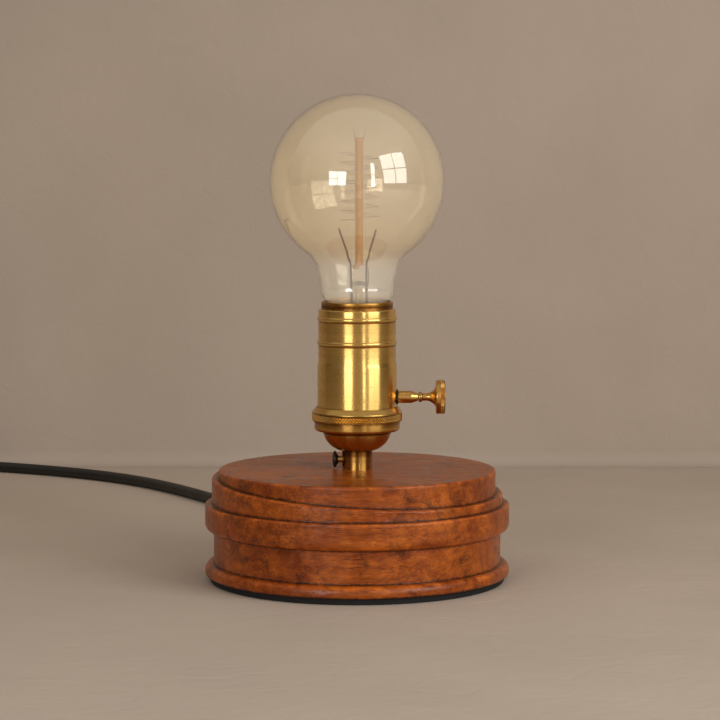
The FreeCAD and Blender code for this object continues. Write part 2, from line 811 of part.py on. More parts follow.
# The switch: a block under the ceramic with a drum that the knob's shaft turns.
cover_thickness = 2.0
end_wall = 4.0
drum_play = 0.5
half_length = s.housing_length / 2
housing_block = box(
    "HousingBlock",
    s.housing_length - cover_thickness,
    s.housing_width,
    housing_half * 2,
    -half_length + cover_thickness,
    -s.housing_width / 2,
    knob_height - housing_half,
)
drum_room = cylinder(
    "DrumRoom",
    s.rotor_radius + drum_play,
    s.housing_length - cover_thickness - end_wall,
    x=-half_length + cover_thickness,
    z=knob_height,
    turn=ALONG_X,
)
shaft_hole = cylinder(
    "HousingShaftHole", s.shaft_radius + s.shaft_fit, s.housing_length, z=knob_height, turn=ALONG_X
)
switch_housing = cut(
    "switch_housing", housing_block, fuse("HousingHollows", drum_room, shaft_hole, *housing_holes)
)
switch_cover = box(
    "switch_cover",
    cover_thickness,
    s.housing_width,
    housing_half * 2,
    -half_length,
    -s.housing_width / 2,
    knob_height - housing_half,
)

drum_start = -half_length + cover_thickness + drum_play
drum_length = s.housing_length - cover_thickness - end_wall - drum_play * 2
bar_width = s.rotor_radius * 1.9
bar_height = s.rotor_radius * 0.5
drum_solid = fuse(
    "DrumSolid",
    cylinder("DrumCore", s.rotor_radius * 0.7, drum_length, x=drum_start, z=knob_height, turn=ALONG_X),
    box(
        "DrumBar",
        drum_length / 2,
        bar_width,
        bar_height,
        drum_start + drum_length / 4,
        -bar_width / 2,
        knob_height - bar_height / 2,
    ),
)
drum_hole = cylinder(
    "DrumHole", s.shaft_radius, drum_length, x=drum_start, z=knob_height, turn=ALONG_X
)
switch_rotor = cut("switch_rotor", drum_solid, drum_hole)

knob_bore_end = knob_disc_start - s.brass_wall
switch_shaft = cylinder(
    "switch_shaft",
    s.shaft_radius,
    knob_bore_end - drum_start,
    x=drum_start,
    z=knob_height,
    turn=ALONG_X,
)
sleeve_seat = shell_radius + s.stem_washer_thickness
sleeve_bore = s.shaft_radius + s.shaft_fit
stem_sleeve = turned(
    "stem_sleeve",
    [
        (sleeve_bore, half_length),
        (s.sleeve_spigot, half_length),
        (s.sleeve_spigot, sleeve_seat),
        (s.sleeve_radius, sleeve_seat),
        (s.sleeve_radius, sleeve_shoulder),
        (s.knob_stem, sleeve_end),
        (sleeve_bore, sleeve_end),
    ],
    z=knob_height,
    turn=ALONG_X,
)
stem_washer = sleeve(
    "stem_washer",
    s.sleeve_spigot,
    s.stem_washer_radius,
    shell_radius,
    sleeve_seat,
    z=knob_height,
    turn=ALONG_X,
)

collar_end = knob_start + 1.9
grip_edge = 0.7
switch_knob = turned(
    "switch_knob",
    [
        (s.shaft_radius, knob_start),
        (s.knob_collar, knob_start),
        (s.knob_collar, collar_end),
        (s.knob_stem, collar_end),
        (s.knob_stem, collar_end + 1),
        (
            s.knob_disc * 0.62,
            knob_disc_start,
            (s.knob_disc * 0.33, knob_disc_start - s.knob_stem * 1.1),
        ),
        (s.knob_disc - grip_edge, knob_disc_start),
        (s.knob_disc, knob_disc_start + grip_edge),
        (s.knob_disc, knob_end - grip_edge),
        (0, knob_end, crown_middle(s.knob_disc, knob_end - grip_edge, knob_end)),
        (0, knob_bore_end),
        (s.shaft_radius, knob_bore_end),
    ],
    z=knob_height,
    turn=ALONG_X,
)

# ---------------------------------------------------------------------------------------------
# The bulb
# ---------------------------------------------------------------------------------------------
cap_wall = 0.6
cap_taper = 5.0
cap_skirt = 1.2
cap_throat = s.cap_radius - cap_taper
glass_collar = s.cap_radius - cap_wall
SHOULDER_BULGE = Vector(2.4, 0, -1.9)


def glass_wire(inset):
    """Half of the bulb's outline, moved in by the given amount, from the crown to the foot."""
    lean = math.radians(s.throat_lean.value)
    outward = Vector(math.cos(lean), 0, -math.sin(lean))
    centre = Vector(0, 0, globe_height.value)
    throat = Vector(s.throat_radius.value, 0, throat_height.value)
    away = throat - centre
    globe = s.globe_radius.value
    curl = (away.dot(away) - globe**2) / (2 * (globe - outward.dot(away)))
    curl_centre = throat + outward * curl
    to_globe = (centre - curl_centre).normalize()
    globe_end = curl_centre + to_globe * (curl + inset)
    throat_end = curl_centre - outward * (curl + inset)
    bend = (to_globe - outward).normalize()
    curl_middle = curl_centre + bend * (curl + inset)
    crown = centre + Vector(0, 0, globe - inset)
    flank = (globe_end - centre).normalize() + Vector(0, 0, 1)
    side = centre + flank.normalize() * (globe - inset)
    drop = throat_height.value - waist_height.value
    waist = throat_end - Vector(drop * math.tan(lean), 0, drop)
    foot_top = Vector(glass_collar.value - inset, 0, cap_top.value + 0.5 + inset / 2)
    foot = Vector(glass_collar.value - inset, 0, glass_foot.value)
    shoulder = (waist + foot_top) * 0.5 + SHOULDER_BULGE
    edges = [
        Part.Arc(crown, side, globe_end).toShape(),
        Part.Arc(globe_end, curl_middle, throat_end).toShape(),
        Part.LineSegment(throat_end, waist).toShape(),
        Part.Arc(waist, shoulder, foot_top).toShape(),
        Part.LineSegment(foot_top, foot).toShape(),
    ]
    return edges, crown, foot


outer_edges, outer_crown, outer_foot = glass_wire(0.0)
inner_edges, inner_crown, inner_foot = glass_wire(s.glass_wall.value)
outline = Part.Wire(
    Part.__sortEdges__(
        outer_edges
        + inner_edges
        + [
            Part.LineSegment(outer_crown, inner_crown).toShape(),
            Part.LineSegment(outer_foot, inner_foot).toShape(),
        ]
    )
)
glass = Part.Face(outline).revolve(Vector(0, 0, 0), UP, 360)
bulb_glass = free_shape("bulb_glass", glass)

bulb_cap = turned(
    "bulb_cap",
    [
        (cap_throat, cap_bottom - cap_skirt),
        (s.cap_radius, cap_bottom + cap_skirt),
        (s.cap_radius, cap_top),
        (glass_collar, cap_top),
        (glass_collar, cap_bottom + cap_skirt + cap_wall / 2),
        (cap_throat, cap_bottom - cap_skirt + cap_wall),
    ],
)
contact_top = tip_height + 1
cap_insulator = turned(
    "cap_insulator",
    [
        (0, contact_top),
        (s.tip_radius, contact_top),
        (cap_throat, cap_bottom - cap_skirt),
        (cap_throat, cap_bottom - cap_skirt + cap_wall),
        (0, cap_bottom - cap_skirt + cap_wall),
    ],
)
bulb_contact = turned(
    "bulb_contact",
    [
        (0, tip_height),
        (s.tip_radius * 0.6, tip_height),
        (s.tip_radius, tip_height + 0.6),
        (s.tip_radius, contact_top),
        (0, contact_top),
    ],
)

stem_wall = 0.9
flare_radius = 10.2
flare_edge = 1.0
flare_rise = 5.5
stem_flare = turned(
    "StemFlare",
    [
        (flare_radius - stem_wall, glass_foot),
        (flare_radius, glass_foot),
        (flare_radius, glass_foot + flare_edge),
        (s.stem_radius, glass_foot + flare_rise),
        (s.stem_radius, pinch_bottom),
        (s.stem_radius - stem_wall, pinch_bottom),
        (s.stem_radius - stem_wall, glass_foot + flare_rise - stem_wall / 2),
    ],
    x=s.rod_offset,
)
pinch = box(
    "StemPinch",
    s.pinch_width,
    s.pinch_depth,
    pinch_top - pinch_bottom,
    s.rod_offset - s.pinch_width / 2,
    -s.pinch_depth / 2,
    pinch_bottom,
)
glass_stem = fuse("glass_stem", stem_flare, pinch)
exhaust_radius = 2.0
exhaust_tube = sleeve(
    "exhaust_tube",
    exhaust_radius - cap_wall,
    exhaust_radius,
    cap_bottom + cap_skirt * 2,
    pinch_bottom,
    x=s.rod_offset,
)
support_rod = cylinder(
    "support_rod", s.rod_radius, rod_top - pinch_top, x=s.rod_offset, z=pinch_top
)

# Two leads rise beside the pinch and lean out to the filament's two ends.
lead_wire_radius = 0.4
rod_axis = s.rod_offset.value
pinch_front = -s.pinch_depth.value / 2 - lead_wire_radius - 0.1
stem_front = -4.3
lead_foot = glass_foot.value + flare_rise + 0.8
pinch_foot = pinch_bottom.value
pinch_head = pinch_top.value
# x at the foot, x beside the pinch, x at the top and how far that is under the globe's centre
LEADS = ((-2.9, -3.4, -9.9, 25.4), (5.2, 5.0, 10.3, 25.9))
lead_shapes = []
for foot_x, knee_x, top_x, top_drop in LEADS:
    lead_shape, _, _ = swept(
        [
            Vector(foot_x, stem_front, lead_foot),
            Vector(foot_x, stem_front, pinch_foot + 0.5),
            Vector(knee_x, pinch_front, pinch_foot + 4.0),
            Vector(knee_x, pinch_front, pinch_head + 1.5),
            Vector(top_x, 0.0, globe_height.value - top_drop),
        ],
        lead_wire_radius,
    )
    lead_shapes.append(lead_shape)
lead_wires = free_shape("lead_wires", Part.Compound(lead_shapes))

# Hooks stand out from the rod along a rising spiral, and the filament runs from hook to hook.
hooks_per_turn = 5
hook_turns = 7
first_hook = 200.0
hook_radius = 0.16
filament_wire = 0.14
filament_bend = 0.08
hook_shortfall = 0.5
hook_length = s.filament_radius.value - s.rod_radius.value - hook_shortfall
hooks = []
filament_points = []
for number in range(hooks_per_turn * hook_turns + 1):
    around = math.radians(first_hook) + 2 * math.pi * number / hooks_per_turn
    rise = filament_bottom.value + s.filament_pitch.value * number / hooks_per_turn
    outward = Vector(math.cos(around), math.sin(around), 0)
    root = Vector(rod_axis, 0, rise) + outward * s.rod_radius.value
    hooks.append(Part.makeCylinder(hook_radius, hook_length, root, outward))
    filament_points.append(Vector(rod_axis, 0, rise) + outward * s.filament_radius.value)
crown_lean = Vector(0.22, 0, 0.97)
crown_length = 7.0
crown_side = s.rod_radius.value + hook_radius
hooks.append(
    Part.makeCylinder(
        hook_radius, crown_length, Vector(rod_axis - crown_side, 0, rod_top.value - 1.5), Vector(0, 0, 1)
    )
)
hooks.append(
    Part.makeCylinder(
        hook_radius, crown_length, Vector(rod_axis + crown_side, 0, rod_top.value - 1.5), crown_lean
    )
)
hook_wires = free_shape("hook_wires", Part.Compound(hooks))
filament_shape, _, _ = swept(filament_points, filament_wire, filament_bend)
filament = free_shape("filament", filament_shape)

# ---------------------------------------------------------------------------------------------
# The wires inside the base
# ---------------------------------------------------------------------------------------------
sheath_end = 16.0
inner_cord = cylinder(
    "inner_cord",
    s.cord_radius,
    relief_tip - sheath_end,
    z=s.cord_height,
    turn=CORD_WAY,
)
sheath_start = CORD_WAY.multVec(Vector(0, 0, sheath_end))
inner_cord.Placement.Base = Vector(sheath_start.x, sheath_start.y, s.cord_height.value)

cord_bush = turned(
    "cord_bush",
    [
        (s.cord_radius + s.cord_fit, bush_start),
        (s.bush_barrel, bush_start),
        (s.bush_barrel, waist_radius),
        (s.bush_flange, waist_radius),
        (s.bush_flange, waist_radius + s.bush_flange_thickness * 0.6),
        (s.relief_start, waist_radius + s.bush_flange_thickness),
        (s.relief_end, relief_tip),
        (s.cord_radius + s.cord_fit, relief_tip),
    ],
    z=s.cord_height,
    turn=CORD_WAY,
)
collar_outer_end = s.cavity_radius - 1
cord_collar = sleeve(
    "cord_collar",
    s.cord_radius + s.cord_fit,
    s.collar_radius,
    collar_outer_end - s.collar_length,
    collar_outer_end,
    z=s.cord_height,
    turn=CORD_WAY,
)

# The two wires turn up into the pipe side by side and part again to reach the two terminals.
cord_way = CORD_WAY.multVec(UP)
across = CORD_WAY.multVec(Vector(0, 1, 0))
wire_gap = s.lead_radius.value + 0.25
wire_low = s.cord_height.value
straight_end = 4.0
for name, sign in (("live_wire", 1), ("neutral_wire", -1)):
    sheath = Vector(sheath_start.x, sheath_start.y, wire_low) + across * (sign * wire_gap)
    beside = -sign * wire_gap
    end_side = sign * terminal_place
    end_x = beside * 0.6
    wire, _, _ = swept(
        [
            sheath,
            sheath - cord_way * straight_end,
            Vector(beside, 0.0, wire_low + 0.5),
            Vector(beside, 0.0, pipe_top.value + 1.0),
            Vector(beside * 1.4, end_side * 0.6, dome_top.value + 0.5),
            Vector(end_x, end_side, cap_rim_top.value + 3.0),
            Vector(end_x, end_side, block_bottom.value - terminal_head_height),
        ],
        s.lead_radius.value,
    )
    free_shape(name, wire)

# ---------------------------------------------------------------------------------------------
# The free cord: it drops from the strain relief to the table, goes back behind the lamp and
# bends to the left, where the rest of it is coiled and tied. It ends in a two-pin plug.
# ---------------------------------------------------------------------------------------------
tip = cord_way * relief_tip.value + Vector(0, 0, s.cord_height.value)
on_table = cord_floor.value
cord_route = [
    tip,
    tip + cord_way * 22.0,
    Vector(-40.2, 149.5, 12.5),
    Vector(-48.5, 177.0, 4.6),
    Vector(-59.0, 207.0, on_table),
    Vector(-77.0, 244.0, on_table),
    Vector(-100.0, 285.5, on_table),
    Vector(-133.0, 341.5, on_table),
    Vector(-170.0, 385.5, on_table),
    Vector(-216.0, 419.5, on_table),
    Vector(-266.0, 446.0, on_table),
    Vector(-300.0, 457.0, on_table),
    Vector(-332.0, 454.0, on_table),
    Vector(-356.0, 440.0, on_table + 0.8),
]
COIL_X = -335.0
COIL_Y = 392.0
coil_turns_flat = 2.2
coil_half_width = s.cord_radius * coil_turns_flat
coil_skin = 0.3
coil_height = s.cord_radius * 4 + coil_skin
coil_outer = s.coil_radius + coil_half_width + s.cord_radius + coil_skin
coil_inner = s.coil_radius - coil_half_width - s.cord_radius - coil_skin
cord_shape, cord_length, cord_bend = swept(cord_route, s.cord_radius.value)
power_cord = free_shape("power_cord", cord_shape)
cord_coil = sleeve(
    "cord_coil", coil_inner, coil_outer, s.coil_lift, s.coil_lift + coil_height, x=COIL_X, y=COIL_Y
)

plug_axis = s.plug_thickness / 2 + s.floor_gap
PLUG_X = -380.0
PLUG_Y = 309.0
tail_route = [
    Vector(-384.3, 389.5, 12.0),
    Vector(-385.0, 370.0, 11.5),
    Vector(-383.2, 349.6, 9.2),
    Vector(PLUG_X, PLUG_Y + 20.0, plug_axis.value),
    Vector(PLUG_X, PLUG_Y, plug_axis.value),
]
tail_shape, tail_length, tail_bend = swept(tail_route, s.cord_radius.value)
cord_tail = free_shape("cord_tail", tail_shape)

tie_way = 40.0
tie_place = FreeCAD.Placement(
    Vector(COIL_X, COIL_Y, 0), FreeCAD.Rotation(UP, tie_way)
)
tie_inner = coil_inner - s.tie_thickness * 2
tie_outer = coil_outer + s.tie_thickness * 2
tie_top = s.coil_lift + coil_height + s.tie_thickness
tie_block = box("TieBlock", tie_outer - tie_inner, s.tie_width, tie_top - s.floor_gap / 2)
tie_block.Placement = tie_place * FreeCAD.Placement(
    Vector(tie_inner.value, -s.tie_width.value / 2, s.floor_gap.value / 2), UPRIGHT
)
tie_room = box(
    "TieRoom",
    tie_outer - tie_inner - s.tie_thickness * 2,
    s.tie_width,
    coil_height,
)
tie_room.Placement = tie_place * FreeCAD.Placement(
    Vector(tie_inner.value + s.tie_thickness.value, -s.tie_width.value / 2, s.coil_lift.value), UPRIGHT
)
cord_tie = cut("cord_tie", tie_block, tie_room)

plug_round = 5.0
plug_face = PLUG_Y - s.plug_taper.value - s.plug_length.value
plug_block = box(
    "PlugBlock",
    s.plug_width,
    s.plug_length,
    s.plug_thickness,
    PLUG_X - s.plug_width.value / 2,
    plug_face,
    s.floor_gap,
)
document.recompute()
plug_rounded = document.addObject("Part::Fillet", "PlugRounded")
plug_rounded.Base = plug_block
plug_rounded.Edges = [(number, plug_round, plug_round) for number in range(1, 9)]
plug_cone = cone(
    "PlugTaper",
    s.cord_radius + 1,
    s.cord_radius * 2,
    s.plug_taper + plug_round,
    x=PLUG_X,
    y=PLUG_Y,
    z=plug_axis,
    turn=ALONG_MINUS_Y,
)
plug_body = fuse("plug_body", plug_rounded, plug_cone)
prongs = [
    cylinder(
        f"Prong_{side}",
        s.prong_radius,
        s.prong_length,
        x=PLUG_X + sign * s.prong_spacing.value / 2,
        y=plug_face,
        z=plug_axis,
        turn=ALONG_MINUS_Y,
    )
    for side, sign in SIDES
]
plug_pins = group("plug_pins", *prongs)

# ---------------------------------------------------------------------------------------------
# Writing the pieces
# ---------------------------------------------------------------------------------------------
NODES = [
    "base_pad",
    "wood_base",
    "threaded_pipe",
    "pipe_washer",
    "pipe_nut",
    "socket_cap",
    "knurled_ring",
    "socket_shell",
    "shell_rim",
    "insulating_liner",
    "lock_shank",
    "lock_head",
    "socket_body",
    "terminal_screws",
    "housing_screws",
    "screw_shell",
    "centre_contact",
    "switch_housing",
    "switch_cover",
    "switch_rotor",
    "switch_shaft",
    "stem_sleeve",
    "stem_washer",
    "switch_knob",
    "bulb_glass",
    "bulb_cap",
    "cap_insulator",
    "bulb_contact",
    "glass_stem",
    "exhaust_tube",
    "support_rod",
    "lead_wires",
    "hook_wires",
    "filament",
    "inner_cord",
    "cord_bush",
    "cord_collar",
    "live_wire",
    "neutral_wire",
    "power_cord",
    "cord_coil",
    "cord_tail",
    "cord_tie",
    "plug_body",
    "plug_pins",
]

document.recompute()
for item in document.Objects:
    if "Invalid" in item.State or "Error" in item.State:
        raise RuntimeError(f"{item.Name} failed: {item.State}")

os.makedirs("parts", exist_ok=True)
for node in NODES:
    piece = document.getObject(node)
    piece.Label = node
    if piece.Shape.isNull() or not piece.Shape.isValid():
        raise RuntimeError(f"{node} has no valid shape")
    piece.Shape.exportStep(f"parts/{node}.step")

print(f"{len(NODES)} nodes")
print(f"cord: {cord_length:.0f} mm to the coil, tightest bend {cord_bend:.0f} mm")
print(f"tail: {tail_length:.0f} mm to the plug, tightest bend {tail_bend:.0f} mm")
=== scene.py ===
"""The looks of a bare bulb table lamp.

A turned hardwood base carries a switched brass lampholder with a clear, amber-tinted globe bulb.
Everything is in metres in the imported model's frame: +Z is up, the switch knob points along +X and
the cord leaves the back of the base, towards +Y. Sizes in the classes are in millimetres.
"""

import logging
import math
from dataclasses import dataclass, field
from enum import Enum
from typing import Callable, Iterable, Sequence

import bmesh
import bpy
from mathutils import Euler, Matrix, Vector, noise


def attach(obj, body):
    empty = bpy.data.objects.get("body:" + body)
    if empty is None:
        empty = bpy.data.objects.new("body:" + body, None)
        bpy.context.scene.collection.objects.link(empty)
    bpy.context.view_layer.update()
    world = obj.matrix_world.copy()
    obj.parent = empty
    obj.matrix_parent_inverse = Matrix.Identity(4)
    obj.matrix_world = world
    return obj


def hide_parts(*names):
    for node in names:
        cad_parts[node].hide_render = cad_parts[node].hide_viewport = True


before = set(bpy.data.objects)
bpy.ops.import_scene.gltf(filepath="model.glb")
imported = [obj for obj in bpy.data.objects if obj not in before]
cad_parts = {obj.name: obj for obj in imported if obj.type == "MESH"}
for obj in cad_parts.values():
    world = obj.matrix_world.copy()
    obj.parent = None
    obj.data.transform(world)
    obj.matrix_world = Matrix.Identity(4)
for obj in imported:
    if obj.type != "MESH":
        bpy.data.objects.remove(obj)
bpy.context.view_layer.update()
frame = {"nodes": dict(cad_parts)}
LOG = logging.getLogger("lamp")
MM = 0.001
WIRE_SHARP = 50.0  # degrees: a wire's few facets stay smooth
Point = tuple[float, float]
Socket = bpy.types.NodeSocket
Tree = bpy.types.NodeTree
Thing = bpy.types.Object


# ---- Nodes and colours ----
def linear(code: str, alpha: float = 1.0) -> tuple[float, float, float, float]:
    """Turns an sRGB hex value into a linear colour.

    Args:
        code: Six hex digits.
        alpha: Opacity of the colour.

    Returns:
        Red, green, blue and alpha.
    """
    parts = [int(code[at:at + 2], 16) / 255 for at in (0, 2, 4)]
    red, green, blue = (c / 12.92 if c <= 0.04045 else ((c + 0.055) / 1.055) ** 2.4 for c in parts)
    return red, green, blue, alpha


def add(tree: Tree, kind: str, links: dict | None = None, values: dict | None = None,
        stops: Sequence[tuple[float, str]] = (), **settings: object) -> bpy.types.Node:
    """Adds a node with its settings, values and links.

    Args:
        tree: Node tree that gets the node.
        kind: Blender's name of the node's type.
        links: Output socket for each input, by the input's name or number.
        values: Constant for each input, by the input's name or number.
        stops: Positions and hex colours of a colour ramp.
        **settings: Attributes of the node.

    Returns:
        The new node.
    """
    node = tree.nodes.new(kind)
    for name, setting in settings.items():
        setattr(node, name, setting)
    for key, value in (values or {}).items():
        node.inputs[key].default_value = value
    for key, socket in (links or {}).items():
        tree.links.new(socket, node.inputs[key])
    for index, (place, code) in enumerate(stops):
        ramp = node.color_ramp.elements
        stop = ramp[index] if index < len(ramp) else ramp.new(place)
        stop.position, stop.color = place, linear(code)
    return node


# ---- Finishes ----
@dataclass(frozen=True)
class Finish:
    """A plain moulded or painted surface with slight unevenness.

    Attributes:
        name: Name of the material.
        colour: sRGB hex value.
        roughness: Mean roughness of the surface.
        metallic: 1 for bare metal.
        ior: Index of refraction of a surface that is not a metal.
        grain_mm: Width of the surface's grain.
        relief_mm: Height of that grain.
        uneven: How far roughness and colour wander.
    """

    name: str
    colour: str
    roughness: float = 0.4
    metallic: float = 0.0
    ior: float = 1.5
    grain_mm: float = 0.8
    relief_mm: float = 0.01
    uneven: float = 0.12

    def material(self) -> bpy.types.Material:
        """Makes the material at its first use and then gives the same one.

        Returns:
            The material.
        """
        known = bpy.data.materials.get(self.name)
        if known is not None:
            return known
        made = bpy.data.materials.new(self.name)
        made.use_nodes = True
        tree = made.node_tree
        shader = tree.nodes["Principled BSDF"]
        shader.inputs["Base Color"].default_value = linear(self.colour)
        shader.inputs["Roughness"].default_value = self.roughness
        shader.inputs["Metallic"].default_value = self.metallic
        if self.metallic == 0.0:
            shader.inputs["IOR"].default_value = self.ior
        self.dress(tree, shader)
        return made

    def place(self, tree: Tree, scale: tuple[float, float, float] = (1.0, 1.0, 1.0)) -> Socket:
        """Gives the surface's own coordinates in millimetres.

        Args:
            tree: Node tree of the material.
            scale: Further scale along each axis.

        Returns:
            The coordinates' output socket.
        """
        where = add(tree, "ShaderNodeTexCoord")
        size = tuple(1000.0 * part for part in scale)
        return add(tree, "ShaderNodeMapping", {0: where.outputs["Object"]},
                   {"Scale": size}).outputs[0]

    def cloud(self, tree: Tree, where: Socket, width_mm: float, detail: float = 3.0,
              distortion: float = 0.0) -> Socket:
        """Adds a noise with patches of about the given width.

        Args:
            tree: Node tree of the material.
            where: Coordinates in millimetres.
            width_mm: Width of a patch.
            detail: Octaves of finer noise.
            distortion: Swirl of the noise.

        Returns:
            The noise's value socket.
        """
        values = {"Scale": 1.0 / width_mm, "Detail": detail, "Distortion": distortion}
        return add(tree, "ShaderNodeTexNoise", {"Vector": where}, values).outputs["Fac"]

    def spread(self, tree: Tree, source: Socket, low: float, high: float, start: float = 0.3,
               end: float = 0.7) -> Socket:
        """Maps a value's range to another one and clamps it.

        Args:
            tree: Node tree of the material.
            source: Value socket.
            low: Result at the start.
            high: Result at the end.
            start: Lower end of the source's range.
            end: Upper end of the source's range.

        Returns:
            The mapped value's socket.
        """
        values = {1: start, 2: end, 3: low, 4: high}
        return add(tree, "ShaderNodeMapRange", {0: source}, values).outputs[0]

    def relief(self, tree: Tree, shader: bpy.types.Node, height: Socket, depth_mm: float,
               strength: float = 1.0) -> None:
        """Lets a height in 0 to 1 shape the surface's normals.

        Args:
            tree: Node tree of the material.
            shader: Shader that gets the normals.
            height: Height socket.
            depth_mm: Depth of a height of 1.
            strength: Strength of the effect.
        """
        bump = add(tree, "ShaderNodeBump", {"Height": height},
                   {"Distance": depth_mm * MM, "Strength": strength})
        tree.links.new(bump.outputs[0], shader.inputs["Normal"])

    def dress(self, tree: Tree, shader: bpy.types.Node) -> None:
        """Adds the surface's grain.

        Args:
            tree: Node tree of the material.
            shader: Its main shader.
        """
        where = self.place(tree)
        grain = self.cloud(tree, where, self.grain_mm, 4.0)
        broad = self.cloud(tree, where, self.grain_mm * 18)
        rough = self.spread(tree, broad, self.roughness * (1 - self.uneven),
                            min(1.0, self.roughness * (1 + self.uneven)))
        tree.links.new(rough, shader.inputs["Roughness"])
        tone = self.spread(tree, broad, 1 - self.uneven, 1 + self.uneven)
        colour = add(tree, "ShaderNodeMix", {"Factor": tone},
                     {6: linear("000000"), 7: linear(self.colour)}, data_type="RGBA",
                     clamp_factor=False)
        tree.links.new(colour.outputs[2], shader.inputs["Base Color"])
        self.relief(tree, shader, grain, self.relief_mm)


@dataclass(frozen=True)
class WaxedHardwood(Finish):
    """Reddish-brown tropical hardwood, turned, stained and waxed.

    The board's grain runs along X: the front shows long fibres and dark pore dashes, and the two
    sides show end grain as dots. Wax gives it a soft gloss that mirrors the neck on the flat top.

    Attributes:
        pale: sRGB hex value of the lightest growth bands.
        deep: sRGB hex value of the darkest ones.
        figure_mm: Width of a growth band.
        fibre_mm: Width of a fibre.
        pore_mm: Distance from one pore to the next.
    """

    pale: str = "B25C18"
    deep: str = "742F05"
    figure_mm: float = 34.0
    fibre_mm: float = 0.8
    pore_mm: float = 0.9

    def dress(self, tree: Tree, shader: bpy.types.Node) -> None:
        """Adds growth bands, fibres, pores, stains, worn edges and painted corner shade with dirt.

        Args:
            tree: Node tree of the material.
            shader: Its main shader.
        """
        solid = self.place(tree)
        along = self.place(tree, (0.1, 1.0, 1.0))
        figure = self.cloud(tree, self.place(tree, (0.4, 1.0, 1.0)), self.figure_mm, 2.0, 0.8)
        mottle = self.cloud(tree, solid, 9.0, 5.0, 0.5)
        streak = self.cloud(tree, self.place(tree, (0.06, 1.0, 1.0)), 3.4, 4.0, 0.4)
        blend = add(tree, "ShaderNodeMath", {0: figure, 1: mottle}, operation="ADD").outputs[0]
        blend = add(tree, "ShaderNodeMath", {0: blend, 1: streak}, operation="ADD").outputs[0]
        body = self.spread(tree, blend, 0.0, 1.0, 1.15, 1.85)
        base = add(tree, "ShaderNodeValToRGB", {"Fac": body},
                   stops=((0.0, self.deep), (1.0, self.pale)))
        base.color_ramp.elements.new(0.5).color = linear(self.colour)

        fibre = self.cloud(tree, along, self.fibre_mm, 4.0, 0.2)
        shade = self.spread(tree, fibre, 0.76, 1.18, 0.34, 0.66)
        pores = add(tree, "ShaderNodeTexVoronoi", {"Vector": along},
                    {"Scale": 1.0 / self.pore_mm}, feature="F1").outputs["Distance"]
        size = self.spread(tree, self.cloud(tree, solid, 13.0, 3.0), 0.1, 0.36, 0.36, 0.64)
        pore = add(tree, "ShaderNodeMath", {0: pores, 1: size}, operation="DIVIDE").outputs[0]
        pore = self.spread(tree, pore, 0.44, 1.0, 0.5, 1.25)
        smudge = self.cloud(tree, solid, 15.0, 4.0, 1.6)
        smudge = self.spread(tree, smudge, 1.0, 0.42, 0.56, 0.72)
        # Painted shade with some dirt: the inside corners of the steps are darkened, in specks.
        crevice = add(tree, "ShaderNodeAttribute", attribute_name="crevice").outputs["Fac"]
        speck = self.cloud(tree, solid, 2.4, 4.0)
        shade_and_dirt = add(tree, "ShaderNodeMath", {0: crevice, 1: speck}, operation="MULTIPLY").outputs[0]
        shade_and_dirt = self.spread(tree, shade_and_dirt, 1.0, 0.16, 0.1, 0.42)
        worn = add(tree, "ShaderNodeAttribute", attribute_name="worn").outputs["Fac"]
        rub = add(tree, "ShaderNodeMath", {0: worn, 1: mottle}, operation="MULTIPLY").outputs[0]
        rub = self.spread(tree, rub, 1.0, 1.45, 0.2, 0.56)
        for share in (pore, smudge, shade_and_dirt, rub):
            shade = add(tree, "ShaderNodeMath", {0: shade, 1: share},
                        operation="MULTIPLY").outputs[0]
        toned = add(tree, "ShaderNodeVectorMath", {0: base.outputs[0], "Scale": shade},
                    operation="SCALE")
        tree.links.new(toned.outputs[0], shader.inputs["Base Color"])

        rough = self.spread(tree, mottle, self.roughness * 0.8, self.roughness * 1.25)
        tree.links.new(rough, shader.inputs["Roughness"])
        shader.inputs["Specular IOR Level"].default_value = 0.32
        ripple = self.cloud(tree, solid, 15.0, 1.0)
        grain = add(tree, "ShaderNodeMath", {0: fibre, 1: pore}, operation="ADD").outputs[0]
        swell = add(tree, "ShaderNodeMath", {0: ripple, 2: grain}, {1: 4.0},
                    operation="MULTIPLY_ADD")
        self.relief(tree, shader, swell.outputs[0], 0.06)


class Turned(Enum):
    """Axis that a metal piece was turned about on the lathe."""

    UPRIGHT = "Z"
    SIDEWAYS = "X"


